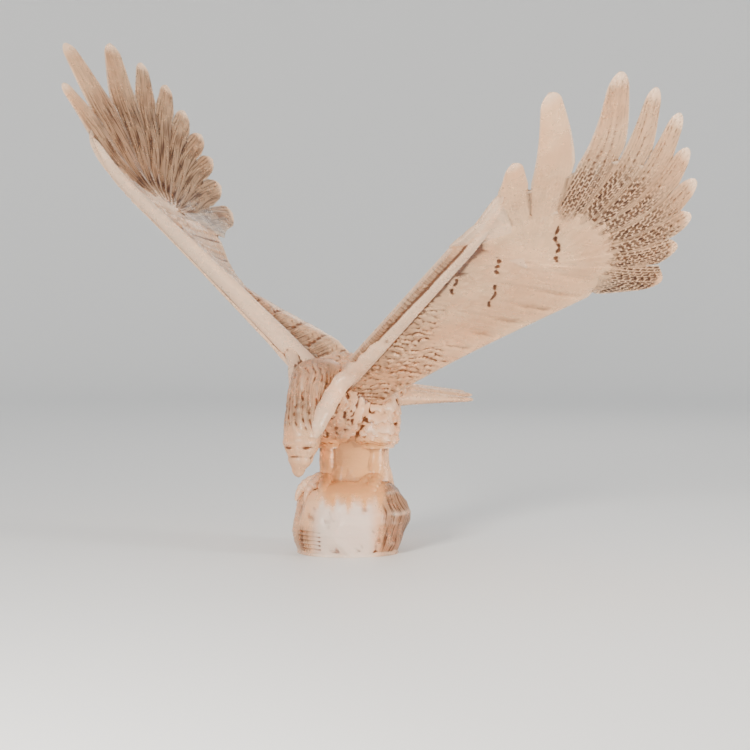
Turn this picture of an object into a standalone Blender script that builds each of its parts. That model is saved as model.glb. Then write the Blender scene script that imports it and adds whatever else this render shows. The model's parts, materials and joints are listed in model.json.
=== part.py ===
# Ice eagle: a standing eagle with both wings raised and its head bowed over a rock, all carved as one
# piece of ice. Metres, +Z up. The origin is under the middle of the rock, on the ground. The eagle is
# seen from the front, along +Y, with its wings spread along X.

import bpy
import numpy as np

# How the eagle stands
HEADING = np.radians(43.0)             # how far it turns from the viewer, towards -X
MIDDLE_PLACE = (-0.0745, -0.060)       # the point on the ground under the middle of its shoulders
SHOULDER_SPAN = 0.152                  # between the two wing roots

# Rock: height, then its half width, half depth and shift along X at a few levels
ROCK_HEIGHT = 0.146
ROCK_HALF_WIDTH = 0.117
ROCK_HALF_DEPTH = 0.102
ROCK_LEVELS = (0.0, 0.17, 0.31, 0.45, 0.58, 0.72, 0.86, 0.95, 1.0)
ROCK_WIDTHS = (0.86, 0.94, 0.975, 1.0, 0.985, 0.925, 0.82, 0.66, 0.44)
ROCK_DEPTHS = (0.88, 0.95, 0.99, 1.0, 0.97, 0.88, 0.72, 0.56, 0.38)
ROCK_SHIFTS = (-0.008, -0.007, -0.005, 0.0, 0.004, 0.0, 0.0, 0.002, 0.004)

# Body, along the eagle's own length. Forward is positive, from the shoulders.
TORSO_HALF_WIDTH = 0.070
TORSO_HALF_HEIGHT = 0.066
TORSO_AXIS_HEIGHT = 0.326
CHEST_REACH = 0.040
RUMP_REACH = -0.270
THIGH_BOTTOM = 0.210
SHANK_RADIUS = 0.016
TOE_LENGTH = 0.062
TOE_RADIUS = 0.0115

# Each leg: how far it stands from the middle of the shoulders, forwards and to the left, and the
# radius of its thigh. The right foot is set forward.
LEGS = {"left": (-0.130, 0.048, 0.048), "right": (-0.066, -0.026, 0.037)}

# The thick web of ice left between the shanks, which carries most of the weight
WEB_PLACE = (0.008, 0.030)
WEB_HALF_WIDTH = 0.067
WEB_HALF_DEPTH = 0.044

# Neck and head
NECK_RADIUS = 0.040
HEAD_HALF_WIDTH = 0.035
HEAD_PLACE = (-0.097, -0.150, 0.233)   # the middle of the skull
BEAK_TIP_HEIGHT = 0.167

# Tail
TAIL_ROOT = -0.200
TAIL_REACH = -0.455
TAIL_HEIGHT = 0.312
TAIL_TIP_HEIGHT = 0.302
TAIL_HALF_WIDTH = 0.050
TAIL_FEATHERS = 7
TAIL_FEATHER_THICKNESS = 0.012

# Wing, in its own sheet: span from the shoulder outwards, chord from the front edge backwards
WING_LENGTH = 0.950                    # from the shoulder to the end of the sheet
HAND = (0.500, 0.120)                  # the point that the long feathers spread from
ELBOW = 0.450                          # the span where the rear edge ends and the tip starts to turn
WING_ROOT = -0.060                     # the wing starts inside the body
ROOT_CHORD = 0.120
CHORD_GAIN = 0.340                     # how fast the chord grows along the span
TRAILING_SAG = 0.014                   # how far the rear edge curves in, half way along the arm
FRONT_EDGE_SWEEP = -0.058              # how fast the front edge runs forwards along the span
PLATE_THICKNESS = 0.016
EDGE_THICKNESS = 0.009
MANTLE_RISE = 0.086                    # how far the back swells over the wing roots
MANTLE_SPAN = 0.30
MANTLE_CHORD = 0.140
ROLL_RADIUS_ROOT = 0.0215              # the thick rounded front edge
ROLL_RADIUS_TIP = 0.0100
ROLL_END = 0.690
FEATHER_THICKNESS = 0.0125
FEATHER_TIP_THICKNESS = 0.0085
FEATHER_LEAN = np.radians(6.0)         # each feather is turned a little, so that it laps the next
SECONDARY_FEATHERS = 10
SECONDARY_RELIEF = 0.0024

# The ten long feathers, from the front edge back: the angle off the span of the first nine, the
# length from HAND as a share of the wing beyond it, and half the width near the tip
FEATHER_ANGLES = (-31.3, -19, 1.0, 13.8, 25.2, 34.8, 45.5, 56, 67)
FEATHER_SHARES = (0.693, 0.962, 0.942, 0.884, 0.831, 0.756, 0.716, 0.658, 0.600, 0.582)
FEATHER_TIPS = (0.018, 0.020, 0.023, 0.018, 0.018, 0.018, 0.018, 0.018, 0.018, 0.024)
# The notches on either side of them, with the front edge first and the trailing edge last
NOTCH_ANGLES = (-37, -26, -8.5, 9, 21, 31, 41, 51, 61, 74, 104)
NOTCH_SHARES = (0.556, 0.540, 0.582, 0.649, 0.664, 0.678, 0.644, 0.618, 0.582, 0.529, 0.356)

# How each wing is held, in degrees: sweep forwards, pitch at the root, the wrist and the tip, lift at
# the root, the elbow and the tip, and the part of the span over which it bends up. Then the height of
# its root, how far its thin front edge stands out before the rounded one, how far its rear edge droops,
# how much longer its first and its last feather are, and the angle of the last one.
LEFT_POSE = dict(side=1, sweep=-25.4, pitch=(-32.7, -21.9, -9.9), lift=(19.0, 19.0, 65.5),
                 bend=(0.46, 1.06), height=0.369, lip=0.016, droop=0.0, longer=(0.0, 0.0),
                 last_angle=83.5)
RIGHT_POSE = dict(side=-1, sweep=-19.6, pitch=(-24.8, -21.6, -18.1), lift=(35.1, 35.1, 65.5),
                  bend=(0.50, 0.72), height=0.390, lip=-0.012, droop=0.018, longer=(0.050, 0.055),
                  last_angle=78)

# How finely the forms are cut into facets
SIDES = 12
CHORD_CUTS = 7

HAND_REACH = WING_LENGTH - HAND[0]
NOTCH_RADII = HAND_REACH * np.array(NOTCH_SHARES)
FORWARD = np.array([-np.sin(HEADING), -np.cos(HEADING), 0.0])
LEFTWARD = np.array([np.cos(HEADING), -np.sin(HEADING), 0.0])
UPWARD = np.array([0.0, 0.0, 1.0])
MIDDLE = np.array([MIDDLE_PLACE[0], MIDDLE_PLACE[1], 0.0])


def smooth_step(x):
    x = np.clip(x, 0, 1)
    return x * x * (3 - 2 * x)


def unit(v):
    return v / np.linalg.norm(v, axis=-1, keepdims=True)


def on_bird(forward, left, height):
    """Points from the eagle's own directions: forward, to its left and up."""
    forward, left, height = (np.asarray(p, float)[..., None]
                             for p in np.broadcast_arrays(forward, left, height))
    return MIDDLE + forward * FORWARD + left * LEFTWARD + height * UPWARD


def through(points, steps):
    """A smooth curve through a few points, read at evenly spaced steps."""
    points = np.asarray(points, float)
    padded = np.vstack([2 * points[0] - points[1], points, 2 * points[-1] - points[-2]])
    t = np.linspace(0, len(points) - 1, steps)
    i = np.minimum(t.astype(int), len(points) - 2)
    u = (t - i)[:, None]
    a, b, c, d = (padded[i + k] for k in range(4))
    bend = (2 * a - 5 * b + 4 * c - d) * u**2 + (3 * b - a - 3 * c + d) * u**3
    return 0.5 * (2 * b + (c - a) * u + bend)


def profile(stations, values, at):
    """A size that changes smoothly between a few stations."""
    x = np.interp(at, stations, np.arange(len(stations)))
    i = np.minimum(x.astype(int), len(stations) - 2)
    values = np.asarray(values, float)
    u = smooth_step(x - i)
    return values[i] * (1 - u) + values[i + 1] * u


def new_collection(name, shown):
    collection = bpy.data.collections.new(name)
    bpy.context.scene.collection.children.link(collection)
    collection.hide_render = not shown
    return collection


def closed_form(name, points, faces, collection):
    """A closed body with its faces turned outwards. It only serves to be fused."""
    corners = [(points[f[0]], points[f[k]], points[f[k + 1]]) for f in faces for k in range(1, len(f) - 1)]
    volume = sum(np.dot(a, np.cross(b, c)) for a, b, c in corners)
    if volume < 0:
        faces = [f[::-1] for f in faces]
    mesh = bpy.data.meshes.new(name)
    mesh.from_pydata([tuple(p) for p in points], [], faces)
    form = bpy.data.objects.new(name, mesh)
    collection.objects.link(form)
    form.hide_render = True
    form.display_type = "WIRE"
    return form


def loft(name, rings, collection):
    """A closed body from rings of points, each end drawn to a middle point."""
    count, sides = rings.shape[:2]
    points = np.vstack([rings.reshape(-1, 3), rings[0].mean(0), rings[-1].mean(0)])
    first = count * sides
    top = (count - 1) * sides
    faces = []
    for j in range(sides):
        n = (j + 1) % sides
        for k in range(0, top, sides):
            faces.append((k + j, k + n, k + sides + n, k + sides + j))
        faces.append((first, n, j))
        faces.append((first + 1, top + j, top + n))
    return closed_form(name, points, faces, collection)


def slab(name, top, bottom, collection):
    """A closed body between two sheets of points with the same rows and columns."""
    rows, columns = top.shape[:2]
    points = np.vstack([top.reshape(-1, 3), bottom.reshape(-1, 3)])
    under = rows * columns
    faces = []
    for i in range(rows - 1):
        for j in range(columns - 1):
            a = i * columns + j
            face = (a, a + 1, a + columns + 1, a + columns)
            faces.append(face)
            faces.append(tuple(under + k for k in face[::-1]))
    rim = [j for j in range(columns)] + [i * columns + columns - 1 for i in range(1, rows)]
    rim += [(rows - 1) * columns + j for j in range(columns - 2, -1, -1)]
    rim += [i * columns for i in range(rows - 2, 0, -1)]
    for a, b in zip(rim, rim[1:] + rim[:1]):
        faces.append((b, a, under + a, under + b))
    return closed_form(name, points, faces, collection)


def oval(sides, power=1.0):
    """Two arrays, across and up, that run once round an oval. A power under 1 makes it squarer."""
    turn = np.linspace(0, 2 * np.pi, sides, endpoint=False)
    across = np.sign(np.cos(turn)) * np.abs(np.cos(turn)) ** power
    up = np.sign(np.sin(turn)) * np.abs(np.sin(turn)) ** power
    return across, up


def limb(name, path, width, top, bottom, side_hint, collection, sides=SIDES, power=1.0):
    """A body along a path, with an oval section that has its own width, top and bottom at each point."""
    path = np.asarray(path, float)
    along = unit(np.gradient(path, axis=0))
    side = np.broadcast_to(np.asarray(side_hint, float), path.shape)
    side = unit(side - (side * along).sum(-1, keepdims=True) * along)
    up = np.cross(side, along)
    across, rise = oval(sides, power)
    height = np.where(rise > 0, top[:, None], bottom[:, None])
    rings = (path[:, None] + (width[:, None] * across)[..., None] * side[:, None]
             + (height * rise)[..., None] * up[:, None])
    return loft(name, rings, collection)


class Wing:
    """The bent sheet that a wing lies in. at() gives the place of a span, a chord and a rise over it."""

    def __init__(self, pose):
        side = pose["side"]
        self.pose = pose
        self.span = np.linspace(0, WING_LENGTH, 60)
        low, middle, high = pose["lift"]
        bend = smooth_step((self.span - pose["bend"][0]) / (pose["bend"][1] - pose["bend"][0]))
        lift = np.interp(self.span, (0, 0.3), (low, middle)) + (high - middle) * bend
        lift = np.radians(lift)[:, None]
        pitch = np.radians(np.interp(self.span, (0, ELBOW, WING_LENGTH), pose["pitch"]))[:, None]
        sweep = np.radians(pose["sweep"])
        back = -np.cos(pitch) * FORWARD + np.sin(pitch) * UPWARD
        over = np.sin(pitch) * FORWARD + np.cos(pitch) * UPWARD
        out = np.cos(lift) * LEFTWARD * side + np.sin(lift) * over
        self.out = np.cos(sweep) * out + np.sin(sweep) * back
        self.back = np.cos(sweep) * back - np.sin(sweep) * out
        self.over = np.cross(self.out, self.back) * side
        step = self.span[1] - self.span[0]
        run = np.vstack([np.zeros(3), np.cumsum((self.out[1:] + self.out[:-1]) / 2 * step, axis=0)])
        self.line = on_bird(0, side * SHOULDER_SPAN / 2, pose["height"]) + run

    def read(self, values, span):
        return np.stack([np.interp(span, self.span, values[:, k]) for k in range(3)], axis=-1)

    def at(self, span, chord, rise):
        span, chord, rise = (np.asarray(p, float) for p in np.broadcast_arrays(span, chord, rise))
        beyond = np.clip(span - WING_LENGTH, 0, None) + np.clip(span, None, 0)
        place = self.read(self.line, span) + beyond[..., None] * self.read(self.out, span)
        place = place + chord[..., None] * self.read(self.back, span)
        return place + rise[..., None] * self.read(self.over, span)


def front_edge(span):
    return 0.010 + FRONT_EDGE_SWEEP * span


def trailing_edge(span):
    inner = np.clip(span, 0, ELBOW)
    return ROOT_CHORD + CHORD_GAIN * inner - TRAILING_SAG * np.sin(np.pi * inner / ELBOW)


def wing_arm(wing, word, collection):
    """The arm of the wing: thin, swollen over the shoulder, with the laps of the short feathers cut in."""
    laps = np.arange(SECONDARY_FEATHERS)[:, None] + np.array([0.04, 0.96])
    end = HAND[0] + 0.03
    span = WING_ROOT + (end - WING_ROOT) * laps.ravel() / SECONDARY_FEATHERS
    span = span[:, None]
    share = np.linspace(0, 1, CHORD_CUTS + 1) ** 1.1
    lip = wing.pose["lip"] * smooth_step(span / 0.06)
    low = front_edge(span) - lip
    chord = low + (trailing_edge(span) - low) * share
    half = (PLATE_THICKNESS + (EDGE_THICKNESS - PLATE_THICKNESS) * share) / 2
    half = half * (1 - 0.4 * smooth_step((span - HAND[0] + 0.05) / 0.08))
    lap = np.tile([-0.5, 0.5], SECONDARY_FEATHERS)[:, None]
    relief = SECONDARY_RELIEF * lap * smooth_step((share - 0.35) / 0.3)
    swell = MANTLE_RISE * np.clip(1 - np.clip(span, 0, None) / MANTLE_SPAN, 0, 1) ** 1.2
    mound = swell * smooth_step(chord / MANTLE_CHORD)
    droop = wing.pose["droop"] * smooth_step((chord - 0.03) / 0.2)
    middle = relief - droop * smooth_step((HAND[0] + 0.06 - span) / 0.14)
    top = wing.at(span, chord, middle + half + mound)
    bottom = wing.at(span, chord, middle - half)
    slab(f"{word}_wing_arm", top, bottom, collection)


def wing_roll(wing, word, collection):
    """The thick rounded front edge, from inside the shoulder to the first long feather."""
    span = np.linspace(WING_ROOT, ROLL_END, 13)
    share = (span - WING_ROOT) / (ROLL_END - WING_ROOT)
    radius = ROLL_RADIUS_ROOT + (ROLL_RADIUS_TIP - ROLL_RADIUS_ROOT) * share
    radius[-1] *= 0.55
    across, rise = oval(8)
    middle = front_edge(span) + radius * 0.75
    rings = wing.at(span[:, None], middle[:, None] + radius[:, None] * across,
                    radius[:, None] * (rise + 1) - 0.006)
    return loft(f"{word}_wing_front_edge", rings, collection)


def wing_palm(wing, word, collection):
    """The sheet under the roots of the long feathers, out to the notches between them."""
    front = np.array([-88.0, -72.0, -56.0])
    lip = wing.pose["lip"] * np.array([1.0, 0.8, 0.4])
    reach = (HAND[1] + lip - front_edge(HAND[0] + 0.08)) / np.sin(np.radians(-front))
    degrees = np.concatenate([front, NOTCH_ANGLES[:-1], [88.0, 103.0]])
    edge = np.concatenate([reach, NOTCH_RADII[:-1], [0.190, 0.155]]) * 0.985
    turn = np.radians(degrees)
    radius = np.array([0.05, 0.6, 1.0])[:, None] * edge
    span = HAND[0] + radius * np.cos(turn)
    chord = HAND[1] + radius * np.sin(turn)
    half = np.array([0.0072, 0.0056, 0.0040])[:, None] * np.ones_like(turn)
    slab(f"{word}_wing_palm", wing.at(span, chord, half), wing.at(span, chord, -half), collection)


def long_feather(wing, word, index, collection):
    """One finger of the wing tip: as wide as the notches allow, then narrowing to a round end."""
    angle = np.radians((*FEATHER_ANGLES, wing.pose["last_angle"])[index])
    first, last = wing.pose["longer"]
    length = HAND_REACH * FEATHER_SHARES[index]
    length += first * (index == 0) + last * max(0, index - 6.5) / 2.5
    tip = FEATHER_TIPS[index]
    start = 0.050
    radius = start + (length - start) * np.array([0, 0.30, 0.55, 0.74, 0.88, 0.965, 1.0])
    half_widths = []
    for notch in (index, index + 1):
        notch_radius = min(NOTCH_RADII[notch], length - 0.02)
        spread = abs(np.radians(NOTCH_ANGLES[notch]) - angle)
        at_notch = max(notch_radius * np.sin(spread) * 1.04, tip)
        past = np.clip((radius - notch_radius) / (length - notch_radius), 0, 1)
        half = np.minimum(radius * np.sin(spread) * 1.04, tip + (at_notch - tip) * (1 - past) ** 1.3)
        round_end = np.clip((radius - (length - 1.4 * tip)) / (1.4 * tip), 0, 1)
        half_widths.append(half * np.sqrt(1 - 0.9 * round_end**2))
    across, rise = oval(8, 0.9)
    side = np.where(across > 0, half_widths[1][:, None], half_widths[0][:, None]) * across
    share = radius / length
    half_thickness = (FEATHER_THICKNESS + (FEATHER_TIP_THICKNESS - FEATHER_THICKNESS) * share) / 2
    half_thickness = half_thickness * np.sqrt(np.clip(1 - share**14, 0.12, 1))
    height = half_thickness[:, None] * rise + np.sin(FEATHER_LEAN) * side * smooth_step(share * 3)[:, None]
    span = HAND[0] + radius[:, None] * np.cos(angle) - side * np.sin(angle)
    chord = HAND[1] + radius[:, None] * np.sin(angle) + side * np.cos(angle)
    return loft(f"{word}_wing_feather_{index + 1}", wing.at(span, chord, height), collection)


def build_wing(pose, word, collection):
    wing = Wing(pose)
    wing_arm(wing, word, collection)
    wing_roll(wing, word, collection)
    wing_palm(wing, word, collection)
    for index in range(len(FEATHER_SHARES)):
        long_feather(wing, word, index, collection)
    return wing


def build_torso(collection):
    share = np.linspace(0, 1, 10)
    forward = CHEST_REACH + (RUMP_REACH - CHEST_REACH) * share
    width = profile((0, 0.12, 0.35, 0.6, 0.8, 1), (0.3, 0.78, 1.0, 0.92, 0.62, 0.30), share)
    back = profile((0, 0.12, 0.4, 0.7, 1), (0.3, 0.9, 1.15, 0.8, 0.24), share)
    belly = profile((0, 0.14, 0.35, 0.65, 0.85, 1), (0.4, 0.9, 1.6, 1.5, 0.6, 0.22), share)
    limb("torso", on_bird(forward, 0, TORSO_AXIS_HEIGHT), TORSO_HALF_WIDTH * width,
         TORSO_HALF_HEIGHT * back, TORSO_HALF_HEIGHT * belly, LEFTWARD, collection)


def build_neck_and_head(collection):
    """The neck runs forwards and down from the shoulders, and the beak hangs over the rock's front edge."""
    x, y, z = HEAD_PLACE
    drop = z - BEAK_TIP_HEIGHT
    path = through([
        on_bird(-0.075, 0.0, TORSO_AXIS_HEIGHT + 0.010),
        on_bird(-0.010, 0.004, TORSO_AXIS_HEIGHT + 0.022),
        (x + 0.016, y + 0.052, z + 0.098),
        (x + 0.006, y + 0.018, z + 0.046),
        (x, y, z),
        (x - 0.002, y - 0.010, z - 0.45 * drop),
        (x - 0.005, y - 0.007, z - 0.80 * drop),
        (x - 0.006, y + 0.003, z - drop),
    ], 20)
    at = np.linspace(0, 7, 20)
    r, w = NECK_RADIUS, HEAD_HALF_WIDTH
    width = profile(range(8), (r, r * 1.35, r, r * 0.93, w, w * 0.69, w * 0.36, w * 0.10), at)
    crown = profile(range(8), (r, r * 1.1, r, r * 0.98, w * 1.0, w * 0.70, w * 0.42, w * 0.10), at)
    throat = profile(range(8), (r, r * 1.2, r * 1.05, r, w * 0.95, w * 0.78, w * 0.40, w * 0.10), at)
    limb("neck_and_head", path, width, throat, crown, (0.96, -0.27, 0.0), collection, power=0.92)


def build_collars(wings, collection):
    """The front edge of each wing runs on down the side of the neck to the cheek."""
    ways = {
        "left": [(-0.036, -0.117, 0.304), (-0.060, -0.140, 0.268), (-0.080, -0.152, 0.238)],
        "right": [(-0.108, -0.096, 0.318), (-0.116, -0.126, 0.272), (-0.118, -0.148, 0.240)],
    }
    for word, wing in wings.items():
        start = [wing.at(s, front_edge(s) + 0.015, 0.014) for s in (0.110, 0.020)]
        path = through(start + ways[word], 12)
        wide = 0.0250 if word == "left" else 0.0170
        radius = profile((0, 3, 8, 11), (0.015, wide, wide * 0.95, 0.014), np.arange(12))
        limb(f"{word}_collar", path, radius, radius, radius, UPWARD + FORWARD, collection, sides=8)


def build_leg(word, collection):
    forward, left, radius = LEGS[word]
    path = on_bird([forward - 0.010, forward - 0.004, forward, forward, forward],
                   [left * 0.75, left * 0.95, left, left, left],
                   [0.330, 0.292, 0.255, 0.228, THIGH_BOTTOM])
    path = through(path, 8)
    size = radius * profile(range(5), (0.90, 1.02, 1.0, 0.96, 0.76), np.linspace(0, 4, 8))
    limb(f"{word}_thigh", path, size * 0.94, size, size, LEFTWARD, collection)
    shank = on_bird([forward] * 3, [left] * 3, [THIGH_BOTTOM + 0.03, 0.175, ROCK_HEIGHT - 0.040])
    radius = np.full(3, SHANK_RADIUS)
    limb(f"{word}_shank", shank, radius, radius, radius * 1.25, LEFTWARD, collection)
    for toe, turn in enumerate((-34, 0, 34)):
        build_toe(f"{word}_toe_{toe + 1}", forward, left, np.radians(turn), collection)


def build_toe(name, forward, left, turn, collection):
    """A toe lies along the rock from the shank and ends in a claw that hooks down."""
    run = np.array([0, 0.35, 0.68, 0.88, 1.0, 1.08]) * TOE_LENGTH
    drop = np.array([0.006, 0.000, -0.010, -0.018, -0.030, -0.042])
    path = on_bird(forward + run * np.cos(turn), left + run * np.sin(turn), ROCK_HEIGHT + drop)
    radius = TOE_RADIUS * np.array([1.25, 1.1, 1.15, 0.80, 0.55, 0.20])
    across = LEFTWARD * np.cos(turn) - FORWARD * np.sin(turn)
    limb(name, path, radius, radius, radius, across, collection, sides=8)


def build_web(collection):
    height = np.array([ROCK_HEIGHT - 0.030, ROCK_HEIGHT + 0.004, 0.172, THIGH_BOTTOM, THIGH_BOTTOM + 0.060])
    swell = np.array([1.22, 1.10, 1.0, 1.0, 1.0])[:, None]
    across, rise = oval(SIDES, 0.75)
    x = WEB_PLACE[0] + WEB_HALF_WIDTH * swell * across
    y = WEB_PLACE[1] + WEB_HALF_DEPTH * swell * rise
    rings = np.stack([x, y, np.broadcast_to(height[:, None], x.shape)], axis=-1)
    loft("leg_web", rings, collection)


def build_tail(collection):
    half = (TAIL_FEATHERS - 1) / 2
    share = np.array([0, 0.30, 0.60, 0.85, 0.96, 1.0])
    for index in range(TAIL_FEATHERS):
        place = (index - half) / half
        reach = (TAIL_REACH - TAIL_ROOT) * (1 - 0.10 * place**2)
        forward = TAIL_ROOT + reach * share
        left = TAIL_HALF_WIDTH * place * (0.46 + 0.46 * share)
        sag = 0.010 * place**2 - 0.003 * (index % 2)
        rise = TAIL_HEIGHT + (TAIL_TIP_HEIGHT - TAIL_HEIGHT) * share - sag
        width = TAIL_HALF_WIDTH / TAIL_FEATHERS * np.array([1.6, 1.8, 2.0, 1.8, 1.3, 0.5])
        thick = TAIL_FEATHER_THICKNESS / 2 * np.array([2.4, 1.6, 1.1, 0.8, 0.7, 0.4])
        limb(f"tail_feather_{index + 1}", on_bird(forward, left, rise), width, thick, thick, LEFTWARD,
             collection, sides=8)


def build_rock(collection, material):
    """A low boulder with a flat underside, chipped round its sides, with a sloping crown."""
    turn = np.linspace(0, 2 * np.pi, 24, endpoint=False)
    across, deep = oval(24, 0.88)
    chips = 0.026 * np.cos(5 * turn + 2.1) + 0.016 * np.cos(8 * turn)
    chip_share = np.array([0.8, 1.0, 1.2, 0.8, 0.9, 1.0, 0.8, 0.7, 0.5])[:, None]
    scale = 1 + chips * chip_share
    width = ROCK_HALF_WIDTH * np.array(ROCK_WIDTHS)[:, None] * scale
    depth = ROCK_HALF_DEPTH * np.array(ROCK_DEPTHS)[:, None] * scale
    x = np.array(ROCK_SHIFTS)[:, None] + width * across
    z = np.broadcast_to(np.array(ROCK_LEVELS)[:, None] * ROCK_HEIGHT, x.shape)
    rock = loft("ice_eagle", np.stack([x, depth * deep, z], axis=-1), collection)
    rock.hide_render = False
    rock.display_type = "TEXTURED"
    rock.data.materials.append(material)
    return rock


def ice_material():
    material = bpy.data.materials.new("frosted_ice")
    material.use_nodes = True
    shader = material.node_tree.nodes["Principled BSDF"]
    shader.inputs["Base Color"].default_value = (0.87, 0.74, 0.63, 1.0)
    shader.inputs["Roughness"].default_value = 0.28
    shader.inputs["Metallic"].default_value = 0.0
    shader.inputs["IOR"].default_value = 1.31
    shader.inputs["Transmission Weight"].default_value = 0.4
    return material


def main():
    for old in list(bpy.data.objects):
        bpy.data.objects.remove(old)
    shown = new_collection("Ice eagle", True)
    carved = new_collection("Carved forms", False)
    build_torso(carved)
    build_neck_and_head(carved)
    poses = {"left": LEFT_POSE, "right": RIGHT_POSE}
    wings = {word: build_wing(pose, word, carved) for word, pose in poses.items()}
    build_collars(wings, carved)
    build_leg("left", carved)
    build_leg("right", carved)
    build_web(carved)
    build_tail(carved)
    eagle = build_rock(shown, ice_material())
    fuse = eagle.modifiers.new("Fuse the forms", "BOOLEAN")
    fuse.operation = "UNION"
    fuse.operand_type = "COLLECTION"
    fuse.collection = carved
    fuse.solver = "EXACT"


main()
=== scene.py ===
import json

import bmesh
import bpy
import numpy as np
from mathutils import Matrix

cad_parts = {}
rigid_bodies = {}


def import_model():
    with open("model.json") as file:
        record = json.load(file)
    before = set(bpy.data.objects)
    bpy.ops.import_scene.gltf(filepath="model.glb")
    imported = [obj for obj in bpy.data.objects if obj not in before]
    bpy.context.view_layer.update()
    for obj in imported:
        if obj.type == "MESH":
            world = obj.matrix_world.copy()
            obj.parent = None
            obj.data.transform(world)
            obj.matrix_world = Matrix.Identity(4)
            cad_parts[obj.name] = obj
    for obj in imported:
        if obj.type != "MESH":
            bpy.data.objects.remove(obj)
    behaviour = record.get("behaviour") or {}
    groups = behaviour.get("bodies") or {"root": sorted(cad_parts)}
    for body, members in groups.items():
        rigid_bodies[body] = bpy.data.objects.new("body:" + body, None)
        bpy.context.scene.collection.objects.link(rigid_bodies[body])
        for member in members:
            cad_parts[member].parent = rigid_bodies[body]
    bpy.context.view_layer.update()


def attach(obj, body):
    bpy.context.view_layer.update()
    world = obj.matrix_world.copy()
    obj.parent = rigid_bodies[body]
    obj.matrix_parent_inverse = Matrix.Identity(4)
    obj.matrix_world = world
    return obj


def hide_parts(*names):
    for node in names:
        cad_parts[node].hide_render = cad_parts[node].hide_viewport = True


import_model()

# How the eagle stands, as the CAD has it
bird = {
    "heading": 43.0,                     # degrees that it turns from the viewer, towards -X
    "middle": (-0.0745, -0.060, 0.0),    # on the ground under the middle of its shoulders
    "shoulderSpan": 0.152,
    "axisHeight": 0.326,
}
heading = np.radians(bird["heading"])
forward = np.array([-np.sin(heading), -np.cos(heading), 0.0])
leftward = np.array([np.cos(heading), -np.sin(heading), 0.0])
upward = np.array([0.0, 0.0, 1.0])


def smoothStep(x):
    # 0 up to 0, 1 from 1 on, and between them three times the square less twice the cube
    x = np.clip(x, 0, 1)
    return x * x * (3 - 2 * x)


def bell(x, width):
    # 1 at 0, and less to both sides: e to the power of minus the square of x over the width
    return np.exp(-(x / width) ** 2)


def unit(v):
    # each vector over its own length
    return v / np.linalg.norm(v, axis=-1, keepdims=True)


def squarer(v, power):
    # a sine or cosine with its size raised to a power: below 1 an oval gets squarer
    return np.sign(v) * np.abs(v) ** power


def onBird(ahead, left, height):
    # places from the eagle's own directions: its middle plus so much ahead, to its left and up
    ahead, left, height = (np.asarray(p, float)[..., None]
                           for p in np.broadcast_arrays(ahead, left, height))
    return np.array(bird["middle"]) + ahead * forward + left * leftward + height * upward


def through(points, steps):
    # a smooth curve through a few points: a cubic between each pair that leaves each point in the
    # direction from the one before it to the one after it
    points = np.asarray(points, float)
    padded = np.vstack([2 * points[0] - points[1], points, 2 * points[-1] - points[-2]])
    t = np.linspace(0, len(points) - 1, steps)
    i = np.minimum(t.astype(int), len(points) - 2)
    u = (t - i)[:, None]
    a, b, c, d = (padded[i + k] for k in range(4))
    bend = (2 * a - 5 * b + 4 * c - d) * u**2 + (3 * b - a - 3 * c + d) * u**3
    return 0.5 * (2 * b + (c - a) * u + bend)


def profile(stations, values, at):
    # a size that eases from each station's value to the next, by smoothStep of the way between them
    x = np.interp(at, stations, np.arange(len(stations)))
    i = np.minimum(x.astype(int), len(stations) - 2)
    values = np.asarray(values, float)
    u = smoothStep(x - i)
    return values[i] * (1 - u) + values[i + 1] * u


def wobble(points, size, seed):
    # smooth unevenness from -1 to 1: the sum of five sines that run in unlike directions
    rng = np.random.default_rng(seed)
    total = np.zeros(points.shape[:-1])
    for k in range(5):
        way = unit(rng.normal(size=3)) * 2 * np.pi / size * rng.uniform(0.7, 1.5)
        total += np.sin(points @ way + rng.uniform(0, 2 * np.pi))
    return total / 3.2


def featherRows(along, across, long, wide, bulge=0.6, seed=1):
    # rows of overlapping round feather tips. A row is `long`, a feather `wide`, each second row is
    # shifted by half a feather, and a tip reaches `bulge` of a row over the next one. It gives how far
    # a point is from the root to the tip of the feather that shows there, 0 to 1, and where it is
    # across that feather, -1 to 1.
    def tipLine(row):
        # the round tip's edge: a row's end plus a root of 1 less the square of the way across
        place = across / wide + 0.5 * np.mod(row, 2)
        x = 2 * np.mod(place, 1) - 1
        odd = np.sin(row * 12.9898 + np.floor(place) * 78.233 + seed) * 0.16
        return (row + 1 + odd + bulge * np.sqrt(1 - 0.98 * x * x)) * long, x

    row = np.floor(along / long)
    over, _ = tipLine(row - 1)
    behind, _ = tipLine(row - 2)
    shown = np.where(along < behind, row - 2, np.where(along < over, row - 1, row))
    tip, x = tipLine(shown)
    root, _ = tipLine(shown - 1)
    return np.clip((along - root) / (tip - root), 0, 1), x


def grainOf(along, across, paintedShade=0.0, paintedLight=0.0):
    # what the ice reads at each point: the distance along and across the form in metres, which the fine
    # lines follow, how much painted shade it has there, and its painted highlight (below 0, dark strokes of
    # painted shade)
    return np.stack(np.broadcast_arrays(along, across, paintedShade, paintedLight), axis=-1)


# Every form is a closed mesh of its own until they are fused
formBox = bpy.data.collections.new("carvedForms")
bpy.context.scene.collection.children.link(formBox)


def putMesh(name, points, faces, grain):
    # the sum of each face's a . (b x c) is six times the volume: below 0 the faces are turned round
    a, b, c = (points[faces[:, k]] for k in range(3))
    if np.einsum("ij,ij->i", a, np.cross(b, c)).sum() < 0:
        faces = faces[:, ::-1]
    mesh = bpy.data.meshes.new(name)
    mesh.from_pydata(points.tolist(), [], faces.tolist())
    mesh.update()
    corner = np.empty(len(mesh.loops), np.int32)
    mesh.loops.foreach_get("vertex_index", corner)
    for word, pair in (("grain", grain[:, :2]), ("tone", grain[:, 2:])):
        layer = mesh.uv_layers.new(name=word)
        layer.data.foreach_set("uv", pair[corner].astype(np.float32).ravel())
    form = bpy.data.objects.new(name, mesh)
    formBox.objects.link(form)
    return form


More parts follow.
